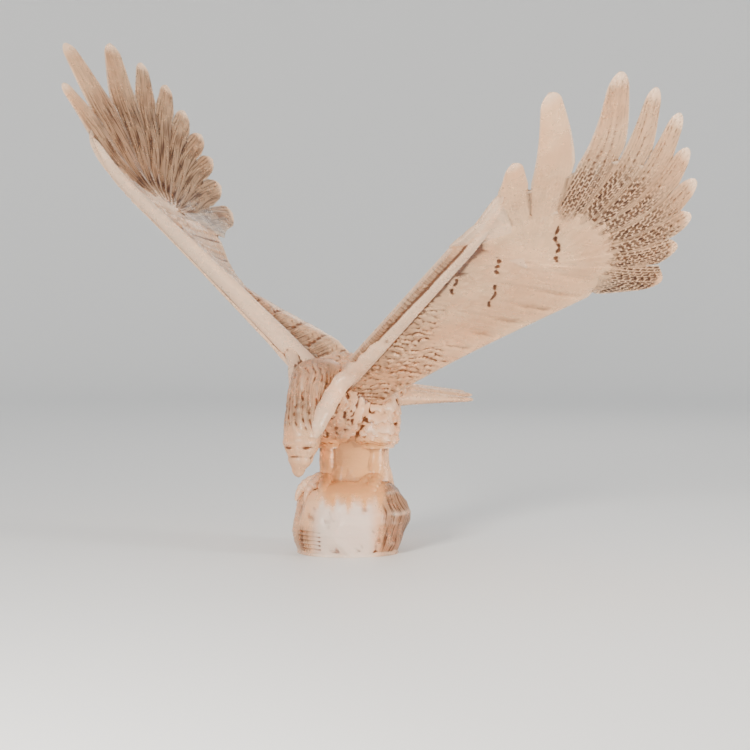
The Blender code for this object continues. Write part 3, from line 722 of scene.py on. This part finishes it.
def makeNeckAndHead():
    # ovals along one smooth curve from the shoulders over the crown and down to the tip of the beak
    x, y, z = neck["head"]
    drop = z - neck["beakTip"]
    cuts, sides = neck["cuts"]
    path = through([
        onBird(-0.075, 0.0, bird["axisHeight"] + 0.010),
        onBird(-0.010, 0.004, bird["axisHeight"] + 0.022),
        (x + 0.016, y + 0.052, z + 0.098),
        (x + 0.006, y + 0.018, z + 0.046),
        (x, y, z),
        (x - 0.002, y - 0.010, z - 0.45 * drop),
        (x - 0.005, y - 0.007, z - 0.80 * drop),
        (x - 0.006, y + 0.003, z - drop),
    ], cuts)
    at = np.linspace(0, 7, cuts)
    r, w = neck["radius"], neck["headHalfWidth"]
    width = profile(range(8), (r, r * 1.35, r, r * 0.93, w, w * 0.69, w * 0.36, w * 0.10), at)
    crown = profile(range(8), (r, r * 1.1, r, r * 0.98, w * 1.0, w * 0.70, w * 0.42, w * 0.10), at)
    throat = profile(range(8), (r, r * 1.2, r * 1.05, r, w * 0.95, w * 0.78, w * 0.40, w * 0.10), at)

    def relief(run, turn, girth, rings):
        # long feathers down the neck, plus the head's own lines, each a bell across its line
        place = at[:, None] * np.ones_like(turn)
        long, wide, rise = neck["hackle"]
        t, across = featherRows(run, girth * r / girth.max() * 2 * np.pi, long, wide, 0.8, 2)
        hackles = rise * ((0.4 + 0.6 * t) * (1 - across**2) - 0.45)
        hackles = hackles * smoothStep((place - 1.2) / 0.5) * (1 - smoothStep((place - 3.45) / 0.35))
        # the crown faces the viewer: brows, eye slits, the line of the cere and of the mouth
        facing = np.cos(turn + np.pi / 2)
        long, tall, depth = neck["eye"]
        sideways = np.cos(turn) * w
        height = rings[..., 2] - (z - 0.008)
        brow = neck["brow"] * bell(height - 0.009, 0.006) * bell(np.abs(sideways) - 0.021, 0.010)
        slit = -depth * bell(height, tall) * bell(np.abs(sideways) - 0.0225, long * 0.8)
        cere = -neck["cere"] * bell(height + 0.017 + 0.004 * np.cos(turn) ** 2, 0.0022)
        mouth = -neck["mouth"] * bell(facing - 0.05, 0.10) * smoothStep((place - 4.6) / 0.3)
        mouth = mouth * (1 - smoothStep((place - 6.4) / 0.4))
        front = smoothStep((facing + 0.1) / 0.3)
        head = (brow + slit + cere) * front * smoothStep((place - 3.3) / 0.3)
        return hackles + head + mouth + neck["uneven"] * wobble(rings, 0.018, 6)

    # painted shade down the neck, lighter on the head
    paintedShade = neck["paintedShade"] * smoothStep((at - 0.9) / 0.5) * (1 - 0.65 * smoothStep((at - 3.2) / 0.5))
    limb("neckAndHead", path, width, throat, crown, (0.96, -0.27, 0.0), sides, relief,
         neck["squareness"], paintedShade[:, None])


collar = {
    # the band leaves the front edge of the wing at these spans, with this offset of chord and of rise
    "leftStart": ((0.200, 0.0125, -0.006), (0.100, 0.0070, -0.008), (0.030, 0.0040, -0.008)),
    "rightStart": ((0.190, 0.0150, 0.013), (0.110, 0.0150, 0.013), (0.020, 0.0150, 0.013)),
    "left": [(-0.0250, -0.118, 0.340), (-0.0490, -0.140, 0.303), (-0.0650, -0.158, 0.268),
             (-0.0740, -0.168, 0.238)],
    "right": [(-0.108, -0.096, 0.318), (-0.116, -0.126, 0.272), (-0.118, -0.148, 0.240)],
    "leftRadii": ((0, 0.16, 0.34, 0.5, 0.67, 0.84, 1),
                  (0.008, 0.0145, 0.0165, 0.0185, 0.0195, 0.0180, 0.010)),
    "rightRadii": ((0, 0.22, 0.46, 0.78, 1), (0.008, 0.0150, 0.0170, 0.0156, 0.011)),
    "flat": 0.86,                        # its thickness as a share of its width
    "uneven": 0.0016,
    "cuts": 90, "sides": 34,
}


def makeCollar(wing, word):
    # the front edge of the wing runs on down the side of the neck to the cheek: near-round sections
    # along one smooth curve, thickest in the middle
    start = [wing.at(s, frontEdge(s) + chord, rise) for s, chord, rise in collar[f"{word}Start"]]
    path = through(start + collar[word], collar["cuts"])
    at = np.linspace(0, 1, collar["cuts"])
    radius = profile(*collar[f"{word}Radii"], at)
    radius = radius * np.sqrt(np.clip(1 - at**18, 0.05, 1))
    thick = radius * collar["flat"]
    # painted highlight along the whole collar
    limb(f"{word}Collar", path, radius, thick, thick, upward + forward, collar["sides"],
         lambda run, turn, girth, rings: collar["uneven"] * wobble(rings, 0.045, 9), paintedLight=0.65)


legs = {
    "left": (-0.130, 0.048, 0.048),      # ahead, left, radius of the thigh
    "right": (-0.066, -0.026, 0.037),
    "thighBottom": 0.210, "shank": 0.016, "toeLength": 0.062, "toe": 0.0115,
    "rings": (0.0009, 0.009),            # on the shank: height and step
    "toeTurns": (-34, 0, 34),            # degrees
    "pads": (0.0008, 7),                 # on each toe: height and how many
}
rock = {
    "height": 0.146, "halfWidth": 0.117, "halfDepth": 0.102,
    "levels": (0.0, 0.17, 0.31, 0.45, 0.58, 0.72, 0.86, 0.95, 1.0),
    "widths": (0.86, 0.94, 0.975, 1.0, 0.985, 0.925, 0.82, 0.66, 0.44),
    "depths": (0.88, 0.95, 0.99, 1.0, 0.97, 0.88, 0.72, 0.56, 0.38),
    "shifts": (-0.008, -0.007, -0.005, 0.0, 0.004, 0.0, 0.0, 0.002, 0.004),
    "chips": (0.8, 1.0, 1.2, 0.8, 0.9, 1.0, 0.8, 0.7, 0.5),
    "cuts": (150, 52),                   # round it and up it
    "corners": 24,                       # of the chips
    "squareness": 0.88,
    "chisel": (0.0062, 0.095),           # depth and size of the tool marks
    "layers": (0.0050, 0.0085),          # depth and height of the steps on the layered corner
}


def makeLeg(word):
    # a feathered thigh that narrows downwards, a straight ringed shank, and three toes
    ahead, left, radius = legs[word]
    path = through(onBird([ahead - 0.010, ahead - 0.004, ahead, ahead, ahead],
                          [left * 0.75, left * 0.95, left, left, left],
                          [0.330, 0.292, 0.255, 0.228, legs["thighBottom"]]), 46)
    size = radius * profile(range(5), (0.90, 1.02, 1.0, 0.96, 0.76), np.linspace(0, 4, 46))
    limb(f"{word}Thigh", path, size * 0.94, size, size, leftward, 54, bodyFeathers)
    height = np.linspace(legs["thighBottom"] + 0.03, rock["height"] - 0.04, 20)
    shank = onBird(ahead, left, height)
    radius = np.full(20, legs["shank"])
    ringRise, step = legs["rings"]
    limb(f"{word}Shank", shank, radius, radius, radius * 1.25, leftward, 24,
         lambda run, turn, girth, rings: ringRise * np.sin(run * 2 * np.pi / step) * np.sin(turn) ** 2)
    for toe, turn in enumerate(legs["toeTurns"]):
        makeToe(f"{word}Toe{toe + 1}", ahead, left, np.radians(turn))


def makeToe(name, ahead, left, turn):
    # a toe lies along the rock from the shank, scaled and knuckled, and ends in a claw that hooks down
    share = through(np.column_stack([np.array([0, 0.35, 0.68, 0.88, 1.0, 1.08]) * legs["toeLength"],
                                     [0.006, 0.000, -0.010, -0.018, -0.030, -0.042],
                                     np.array([1.25, 1.1, 1.15, 0.80, 0.55, 0.20]) * legs["toe"]]), 40)
    path = onBird(ahead + share[:, 0] * np.cos(turn), left + share[:, 0] * np.sin(turn),
                  rock["height"] + share[:, 1])
    radius = share[:, 2]
    across = leftward * np.cos(turn) - forward * np.sin(turn)
    pads = np.linspace(0, 1, 40)[:, None]
    padRise, count = legs["pads"]
    limb(name, path, radius, radius, radius, across, 18,
         lambda run, turn, girth, rings: padRise * np.sin(pads * 2 * np.pi * count) * (pads < 0.72))


web = {
    "place": (0.008, 0.030), "halfWidth": 0.067, "halfDepth": 0.044, "squareness": 0.75,
    "flutes": (0.030, 7),                # depth as a share of the width, and how many to each half turn
    "swell": (1.22, 1.10, 1.0, 1.0, 1.0),    # from inside the rock up to inside the thighs
}


def makeWeb():
    # the thick ice left between the shanks, a squared oval at each height, cut in soft upright flutes
    bottom = rock["height"] - 0.030
    stations = [bottom, rock["height"] + 0.004, 0.172, legs["thighBottom"], legs["thighBottom"] + 0.060]
    height = np.linspace(stations[0], stations[-1], 34)[:, None]
    swell = np.interp(height, stations, web["swell"])
    turn = np.linspace(0, 2 * np.pi, 72, endpoint=False)
    across, rise = squarer(np.cos(turn), web["squareness"]), squarer(np.sin(turn), web["squareness"])
    depth, count = web["flutes"]
    flute = 1 - depth * np.abs(np.sin(turn * count + 0.8)) + 0.012 * np.sin(height * 90 + 3 * turn)
    x = web["place"][0] + web["halfWidth"] * swell * across * flute
    y = web["place"][1] + web["halfDepth"] * swell * rise * flute
    rings = np.stack([x, y, np.broadcast_to(height, x.shape)], axis=-1)
    tube("legWeb", rings, grainOf(height, turn * 0.05))


tail = {"root": -0.200, "reach": -0.455, "height": 0.312, "tipHeight": 0.302, "halfWidth": 0.050,
        "feathers": 7, "thickness": 0.012,
        # stations from the root to the tip of a feather, and its width, thickness and top at each
        "stations": (0, 0.30, 0.60, 0.85, 0.96, 1.0),
        "widths": (1.6, 1.8, 2.0, 1.8, 1.3, 0.3),
        "thicks": (2.4, 1.5, 1.0, 0.7, 0.5, 0.2),
        "tops": (1.5, 2.1, 2.0, 1.5, 1.2, 1.0)}


def makeTail():
    # a fan of feathers that lap by lying higher and lower in turn: ovals that widen and then close
    half = (tail["feathers"] - 1) / 2
    cuts = 54
    share = np.linspace(0, 1, cuts)
    widths, thicks, tops = (np.interp(share, tail["stations"], tail[k])
                            for k in ("widths", "thicks", "tops"))
    for index in range(tail["feathers"]):
        place = (index - half) / half
        reach = (tail["reach"] - tail["root"]) * (1 - 0.10 * place**2)
        left = tail["halfWidth"] * place * (0.46 + 0.46 * share)
        sag = 0.010 * place**2 - 0.003 * (index % 2)
        rise = tail["height"] + (tail["tipHeight"] - tail["height"]) * share - sag
        width = tail["halfWidth"] / tail["feathers"] * widths
        thick = tail["thickness"] / 2 * thicks
        above = thick * tops

        def relief(run, turn, girth, rings):
            # a bell over the middle, and slanted sine waves to both sides
            shaft = 0.0013 * bell(np.cos(turn), 0.22)
            barbs = 0.0006 * np.sin((run - 0.012 * np.abs(np.cos(turn))) * 2 * np.pi / 0.010 + index)
            return shaft + barbs * smoothStep(share / 0.3)[:, None]

        limb(f"tailFeather{index + 1}", onBird(tail["root"] + reach * share, left, rise), width, above,
             thick, leftward, 26, relief)


def makeRock():
    # a low boulder with a flat underside, chipped round its sides, with tool marks and a layered corner:
    # at each level a squared oval times the width, depth and chips read there, moved to one side
    around, up = rock["cuts"]
    turn = np.linspace(0, 2 * np.pi, around, endpoint=False)
    across, deep = squarer(np.cos(turn), rock["squareness"]), squarer(np.sin(turn), rock["squareness"])
    level = np.linspace(0, 1, up)[:, None]
    read = {k: np.interp(level, rock["levels"], rock[k]) for k in ("widths", "depths", "shifts", "chips")}
    # straight between the corners of the chips, as the chisel leaves it
    corners = np.linspace(0, 2 * np.pi, rock["corners"], endpoint=False)
    ring = 0.026 * np.cos(5 * corners + 2.1) + 0.016 * np.cos(8 * corners)
    scale = 1 + np.interp(turn, corners, ring, period=2 * np.pi) * read["chips"]
    x = read["shifts"] + rock["halfWidth"] * read["widths"] * scale * across
    y = rock["halfDepth"] * read["depths"] * scale * deep
    z = np.broadcast_to(level * rock["height"], x.shape)
    rings = np.stack([x, y, z], axis=-1)
    out = unit(rings * np.array([1, 1, 0.25]))
    depth, size = rock["chisel"]
    marks = -depth * np.abs(wobble(rings, size, 14)) - 0.0008 * np.abs(wobble(rings, 0.022, 15))
    layered = bell(turn - 1.22 * np.pi, 0.42) * (1 - smoothStep((z - 0.045) / 0.02))
    depth, step = rock["layers"]
    steps = -depth * np.mod(z / step, 1) * layered
    keep = smoothStep(z / 0.004)
    rings = rings + out * ((marks * (1 - layered) + steps) * keep)[..., None]
    rings[..., 2] = np.maximum(rings[..., 2], 0)
    rings[0, :, 2] = 0
    # painted dark reflection: the clear right side, the layered corner and the lower left are browned, as
    # clear ice shows dark surroundings
    clear = 1.3 * smoothStep((x - 0.052) / 0.02) + 0.65 * layered + 0.35 * smoothStep((-0.085 - x) / 0.02)
    return tube("iceEagle", rings, grainOf(z, turn * 0.1, np.clip(clear, 0, 1)))


def applyModifiers(piece):
    # the piece's mesh is replaced by what its modifiers make of it
    graph = bpy.context.evaluated_depsgraph_get()
    mesh = bpy.data.meshes.new_from_object(piece.evaluated_get(graph))
    piece.modifiers.clear()
    piece.data = mesh


def fuseForms(base):
    # one closed skin, with nothing left inside it
    formBox.objects.unlink(base)
    bpy.context.scene.collection.objects.link(base)
    fuse = base.modifiers.new("fuse", "BOOLEAN")
    fuse.operation = "UNION"
    fuse.operand_type = "COLLECTION"
    fuse.collection = formBox
    fuse.solver = "MANIFOLD"
    applyModifiers(base)
    print("forms fused:", len(base.data.polygons), "faces")
    for form in list(formBox.objects):
        bpy.data.objects.remove(form)
    bpy.data.collections.remove(formBox)
    return base


def thinFaces(base, target):
    # fewer triangles where the ice is smooth, so that the carved places can keep theirs
    base.data.calc_loop_triangles()
    thin = base.modifiers.new("thin", "DECIMATE")
    thin.ratio = min(1.0, target / len(base.data.loop_triangles))
    applyModifiers(base)


def readEdges(mesh):
    # the two end points of every edge, as two arrays of numbers
    edges = np.empty(len(mesh.edges) * 2, np.int32)
    mesh.edges.foreach_get("vertices", edges)
    return edges.reshape(-1, 2).T


def keepOuterSkin(mesh):
    # drops the crumbs that the fusing leaves: every point that isn't joined to most of the others. Each
    # point takes the lowest number among those it is joined to, until no number changes.
    a, b = readEdges(mesh)
    group = np.arange(len(mesh.vertices))
    while True:
        least = np.minimum(group[a], group[b])
        joined = group.copy()
        np.minimum.at(joined, a, least)
        np.minimum.at(joined, b, least)
        joined = joined[joined]
        if (joined == group).all():
            break
        group = joined
    loose = group != np.bincount(group).argmax()
    work = bmesh.new()
    work.from_mesh(mesh)
    crumbs = [point for point, drop in zip(work.verts, loose) if drop]
    bmesh.ops.delete(work, geom=crumbs, context="VERTS")
    work.to_mesh(mesh)
    work.free()
    print("loose points dropped:", len(crumbs))


def readPoints(mesh, key):
    # a row of three for each point: its place, or its normal
    values = np.empty(len(mesh.vertices) * 3)
    mesh.vertices.foreach_get(key, values)
    return values.reshape(-1, 3)


def addToPoints(mesh, name, values):
    # one number for each point, which the ice reads by this name
    layer = mesh.attributes.new(name, "FLOAT", "POINT")
    layer.data.foreach_set("value", values.astype(np.float32))


def addHollow(mesh):
    # how deep each point lies under the mean of its neighbours, along its normal, in millimetres: above 0
    # in cuts and below 0 on ridges
    points, normals = readPoints(mesh, "co"), readPoints(mesh, "normal")
    a, b = readEdges(mesh)
    count = np.bincount(a, minlength=len(points)) + np.bincount(b, minlength=len(points))

    def mean(values):
        # the sum over a point's neighbours over their number
        total = [np.bincount(a, values[b, k], len(points)) + np.bincount(b, values[a, k], len(points))
                 for k in range(values.shape[1])]
        return np.stack(total, axis=-1) / np.maximum(count, 1)[:, None]

    deep = ((mean(points) - points) * normals).sum(-1) * 1000
    for k in range(3):
        deep = 0.5 * deep + 0.5 * mean(deep[:, None])[:, 0]
    addToPoints(mesh, "hollow", np.clip(deep, -1, 1))


tints = {
    "frost": {"top": 0.108, "left": -0.088, "right": 0.058},
    "amber": {"bottom": 0.104, "top": 0.240, "side": 0.072},
}


def addTints(mesh):
    # white frost on the middle of the rock, and amber in the clear ice between the legs above it, each a
    # product of soft steps over the place, with a ragged edge
    x, y, z = readPoints(mesh, "co").T
    ragged = 0.008 * np.sin(x * 190) + 0.005 * np.sin(x * 410 + 1)
    front = smoothStep((0.03 - y) / 0.05)
    place = tints["frost"]
    frost = smoothStep((place["top"] + ragged - z) / 0.014) * smoothStep((x - place["left"]) / 0.03)
    frost = frost * smoothStep((place["right"] - x) / 0.03) * front
    place = tints["amber"]
    amber = smoothStep((z - place["bottom"] - ragged) / 0.016) * smoothStep((place["top"] - z) / 0.020)
    amber = amber * front * smoothStep((x + place["side"]) / 0.016)
    amber = amber * smoothStep((place["side"] - x) / 0.016)
    addToPoints(mesh, "frost", frost)
    addToPoints(mesh, "amber", amber)


ice = {
    "cream": (0.97, 0.64, 0.39, 1.0),
    "dusk": (0.86, 0.51, 0.29, 1.0),     # the slightly darker clouds in the cream
    "paintedCutShade": (0.13, 0.05, 0.022, 1.0),   # painted shade in the cuts
    "amber": (0.86, 0.45, 0.19, 1.0),
    "paintedHighlight": (0.97, 0.78, 0.60, 1.0),    # painted highlight: on the ridges, the bright bands and the feather tips
    "frost": (0.97, 0.88, 0.78, 1.0),
    "paintedShade": (0.055, 0.021, 0.012, 1.0), # painted shade: the upper side of the wings, the neck and the dark strokes, and a painted dark reflection on the rock's clear sides
    "shader": {"IOR": 1.31, "Transmission Weight": 0.60, "Specular IOR Level": 0.18, "Coat Weight": 0.06,
               "Coat Roughness": 0.12},
    "inside": {"Color": (0.90, 0.62, 0.36, 1.0), "Density": 8.0},
    "streaks": (14.0, 260.0, 1.0),       # streaks in the painted shade: how many along and across a metre
    "strokes": {"Scale": 1.0, "Mortar Size": 0.0011, "Mortar Smooth": 0.3, "Brick Width": 0.0080,
                "Row Height": 0.0062, "Color1": (0.80, 0.80, 0.80, 1.0), "Color2": (1.0, 1.0, 1.0, 1.0),
                "Mortar": (0.0, 0.0, 0.0, 1.0)},
    "lines": {"Scale": 42.0, "Distortion": 1.2, "Detail": 2.0},
    "bump": {"Strength": 0.55, "Distance": 0.0016},
    "triangles": 188000,                 # of the finished skin
    "creaseAngle": 48,                   # degrees
}


def makeIce():
    # cream ice with painted shade, painted highlights, amber and frosted places read from the mesh, painted
    # highlights on the ridges and painted shade in the cuts, fine lines along the grain, and a warm tint
    # that deepens with the thickness
    material = bpy.data.materials.new("frostedIce")
    material.use_nodes = True
    nodes, links = material.node_tree.nodes, material.node_tree.links
    shader = nodes["Principled BSDF"]

    def fill(one, values):
        for key, value in values.items():
            one.inputs[key].default_value = value

    def node(kind, **settings):
        new = nodes.new(kind)
        for key, value in settings.items():
            setattr(new, key, value)
        return new

    def attribute(name):
        return node("ShaderNodeAttribute", attribute_name=name).outputs["Fac"]

    def remap(value, low, high, toLow=0.0, toHigh=1.0):
        new = node("ShaderNodeMapRange", interpolation_type="SMOOTHSTEP")
        links.new(value, new.inputs["Value"])
        fill(new, {"From Min": low, "From Max": high, "To Min": toLow, "To Max": toHigh})
        return new.outputs["Result"]

    def mix(factor, one, two):
        new = node("ShaderNodeMix", data_type="RGBA")
        links.new(factor, new.inputs["Factor"])
        for slot, colour in ((6, one), (7, two)):
            if isinstance(colour, tuple):
                new.inputs[slot].default_value = colour
            else:
                links.new(colour, new.inputs[slot])
        return new.outputs[2]

    def maths(kind, one, two):
        new = node("ShaderNodeMath", operation=kind)
        for slot, value in enumerate((one, two)):
            if isinstance(value, (int, float)):
                new.inputs[slot].default_value = value
            else:
                links.new(value, new.inputs[slot])
        return new.outputs[0]

    place = node("ShaderNodeTexCoord").outputs["Object"]

    def noise(scale, detail=3.0, rough=0.55, vector=place):
        new = node("ShaderNodeTexNoise")
        links.new(vector, new.inputs["Vector"])
        fill(new, {"Scale": scale, "Detail": detail, "Roughness": rough})
        return new.outputs["Fac"]

    fill(shader, ice["shader"])
    grain = node("ShaderNodeUVMap", uv_map="grain").outputs["UV"]
    tone = node("ShaderNodeSeparateXYZ")
    links.new(node("ShaderNodeUVMap", uv_map="tone").outputs["UV"], tone.inputs[0])
    paintedShade, paintedLight = tone.outputs["X"], tone.outputs["Y"]
    stretch = node("ShaderNodeMapping")
    stretch.inputs["Scale"].default_value = ice["streaks"]
    links.new(grain, stretch.inputs["Vector"])
    streak = remap(noise(1.0, 2.0, 0.6, stretch.outputs["Vector"]), 0.44, 0.62)
    hollow = attribute("hollow")
    frost = attribute("frost")
    amber = attribute("amber")
    cloud = noise(9.0)
    colour = mix(remap(cloud, 0.35, 0.7), ice["cream"], ice["dusk"])
    # painted shade where the first tone is, streaked along the grain
    streakedShade = maths("MULTIPLY", paintedShade, maths("ADD", maths("MULTIPLY", streak, 0.48), 0.52))
    colour = mix(streakedShade, colour, ice["paintedShade"])
    # painted highlight where the second tone is above 0
    colour = mix(maths("MULTIPLY", maths("MAXIMUM", paintedLight, 0.0), 0.75), colour, ice["paintedHighlight"])
    # painted highlight on the ridges, read from the hollow
    colour = mix(remap(hollow, -0.08, -0.45, 0.0, 0.5), colour, ice["paintedHighlight"])
    colour = mix(amber, colour, ice["amber"])
    colour = mix(frost, colour, ice["frost"])
    # painted shade in the cuts, read from the hollow, less in the amber ice
    cut = maths("SUBTRACT", remap(hollow, 0.01, 0.18), maths("MULTIPLY", amber, 0.75))
    colour = mix(maths("MAXIMUM", cut, 0.0), colour, ice["paintedCutShade"])

    # painted shade: dark strokes in staggered rows along the roots of the long feathers
    waver = node("ShaderNodeVectorMath", operation="MULTIPLY_ADD")
    drift = node("ShaderNodeTexNoise")
    drift.inputs["Scale"].default_value = 45.0
    links.new(place, drift.inputs["Vector"])
    links.new(drift.outputs["Color"], waver.inputs[0])
    waver.inputs[1].default_value = (0.004, 0.0012, 0.0)
    links.new(grain, waver.inputs[2])
    shorten = node("ShaderNodeVectorMath", operation="MULTIPLY")
    shorten.inputs[1].default_value = (0.6, 1.0, 1.0)
    links.new(waver.outputs["Vector"], shorten.inputs[0])
    bricks = node("ShaderNodeTexBrick", offset=0.5)
    links.new(shorten.outputs["Vector"], bricks.inputs["Vector"])
    fill(bricks, ice["strokes"])
    struck = maths("MAXIMUM", maths("MULTIPLY", paintedLight, -1.0), 0.0)
    stroke = maths("MULTIPLY", bricks.outputs["Color"], struck)
    colour = mix(stroke, colour, ice["paintedShade"])
    links.new(colour, shader.inputs["Base Color"])
    rough = maths("ADD", remap(noise(34.0), 0.3, 0.7, 0.20, 0.38), maths("MULTIPLY", frost, 0.2))
    links.new(maths("SUBTRACT", rough, maths("MULTIPLY", amber, 0.12)), shader.inputs["Roughness"])

    wave = node("ShaderNodeTexWave", wave_type="BANDS", bands_direction="X", wave_profile="SAW")
    links.new(grain, wave.inputs["Vector"])
    fill(wave, ice["lines"])
    height = maths("ADD", maths("MULTIPLY", wave.outputs["Fac"], 0.45), noise(120.0, 4.0, 0.6))
    height = maths("ADD", height, maths("MULTIPLY", noise(28.0), 1.6))
    height = maths("SUBTRACT", height, maths("MULTIPLY", stroke, 1.6))
    bump = node("ShaderNodeBump")
    fill(bump, ice["bump"])
    links.new(height, bump.inputs["Height"])
    links.new(bump.outputs["Normal"], shader.inputs["Normal"])

    inside = node("ShaderNodeVolumeAbsorption")
    fill(inside, ice["inside"])
    links.new(inside.outputs["Volume"], nodes["Material Output"].inputs["Volume"])
    return material


wings = {word: makeWing(word) for word in wingHolds}
print("wings carved")
makeTorso()
makeNeckAndHead()
for word in wings:
    makeCollar(wings[word], word)
    makeLeg(word)
makeWeb()
makeTail()
print("body, head, legs and tail carved")
eagle = fuseForms(makeRock())
addHollow(eagle.data)
addTints(eagle.data)
thinFaces(eagle, ice["triangles"])
keepOuterSkin(eagle.data)
eagle.data.materials.clear()
eagle.data.materials.append(makeIce())
eagle.data.shade_smooth()
eagle.data.set_sharp_from_angle(angle=np.radians(ice["creaseAngle"]))
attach(eagle, "root")
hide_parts("ice_eagle")
eagle.data.calc_loop_triangles()
print("skin fused:", len(eagle.data.loop_triangles), "triangles")


# Studio
studio = {
    "flat": 5.0, "curve": 3.0, "height": 7.0,    # a round floor that curves up into a wall
    "below": 0.0004,                             # the floor lies this far under the rock
    "colour": (0.80, 0.80, 0.79, 1.0), "roughness": 0.55,
    "world": (0.86, 0.90, 0.95, 1.0), "worldPower": 0.9,
}


def makeStudio():
    # a turned profile: flat, then a quarter of a circle, then straight up
    bend = np.linspace(0, np.pi / 2, 24)
    flat, curve = studio["flat"], studio["curve"]
    r = np.concatenate([[0.001, 1, 2, 3, 4], flat + curve * np.sin(bend), [flat + curve]])
    z = np.concatenate([np.zeros(5), curve * (1 - np.cos(bend)), [studio["height"]]]) - studio["below"]
    turn = np.linspace(0, 2 * np.pi, 96, endpoint=False)[:, None]
    points = np.stack(np.broadcast_arrays(r * np.cos(turn), r * np.sin(turn), z), axis=-1)
    rows, columns = points.shape[:2]
    i = np.arange(rows)[:, None]
    j = np.arange(columns - 1)
    after = (i + 1) % rows
    faces = np.stack([i * columns + j, i * columns + j + 1,
                      after * columns + j + 1, after * columns + j], axis=-1)
    mesh = bpy.data.meshes.new("floor")
    mesh.from_pydata(points.reshape(-1, 3).tolist(), [], faces.reshape(-1, 4).tolist())
    mesh.shade_smooth()
    floor = bpy.data.objects.new("floor", mesh)
    bpy.context.scene.collection.objects.link(floor)
    material = bpy.data.materials.new("paleFloor")
    material.use_nodes = True
    shader = material.node_tree.nodes["Principled BSDF"]
    shader.inputs["Base Color"].default_value = studio["colour"]
    shader.inputs["Roughness"].default_value = studio["roughness"]
    mesh.materials.append(material)
    world = bpy.data.worlds.new("studio")
    world.use_nodes = True
    background = world.node_tree.nodes["Background"]
    background.inputs["Color"].default_value = studio["world"]
    background.inputs["Strength"].default_value = studio["worldPower"]
    bpy.context.scene.world = world


softLights = {
    # place, aim, size, power and colour
    "key": ((-1.4, -3.3, 1.2), (0.1, 0, 0.5), 0.9, 245, (1.0, 0.94, 0.86)),
    "side": ((3.0, -1.4, 0.4), (0.1, 0, 0.5), 0.9, 175, (1.0, 0.92, 0.82)),
    "rim": ((0.8, 3.2, 2.2), (0, 0, 0.45), 1.2, 14, (1.0, 0.92, 0.82)),
}


def makeLight(name, place, aim, size, power, colour):
    # a round soft light, tilted and turned by the angles of the way from its place to its aim
    data = bpy.data.lights.new(name, "AREA")
    data.shape = "DISK"
    data.size = size
    data.energy = power
    data.color = colour
    light = bpy.data.objects.new(name, data)
    way = np.array(aim) - np.array(place)
    light.location = place
    light.rotation_euler = (np.arccos(-way[2] / np.linalg.norm(way)), 0, np.arctan2(-way[0], way[1]))
    bpy.context.scene.collection.objects.link(light)


view = {"target": (0.0454, -0.0645, 0.359), "distance": 4.0, "elevation": 3.0, "width": 1.479}


def makeCamera():
    # it looks at the target from the front and a little above, and takes in `width` metres there
    data = bpy.data.cameras.new("camera")
    data.sensor_width = 36.0
    data.lens = data.sensor_width * view["distance"] / view["width"]
    camera = bpy.data.objects.new("camera", data)
    up = np.radians(view["elevation"])
    x, y, z = view["target"]
    camera.location = (x, y - view["distance"] * np.cos(up), z + view["distance"] * np.sin(up))
    camera.rotation_euler = (np.pi / 2 - up, 0, 0)
    bpy.context.scene.collection.objects.link(camera)
    bpy.context.scene.camera = camera


makeStudio()
for name, settings in softLights.items():
    makeLight(name, *settings)
makeCamera()
print("studio ready")
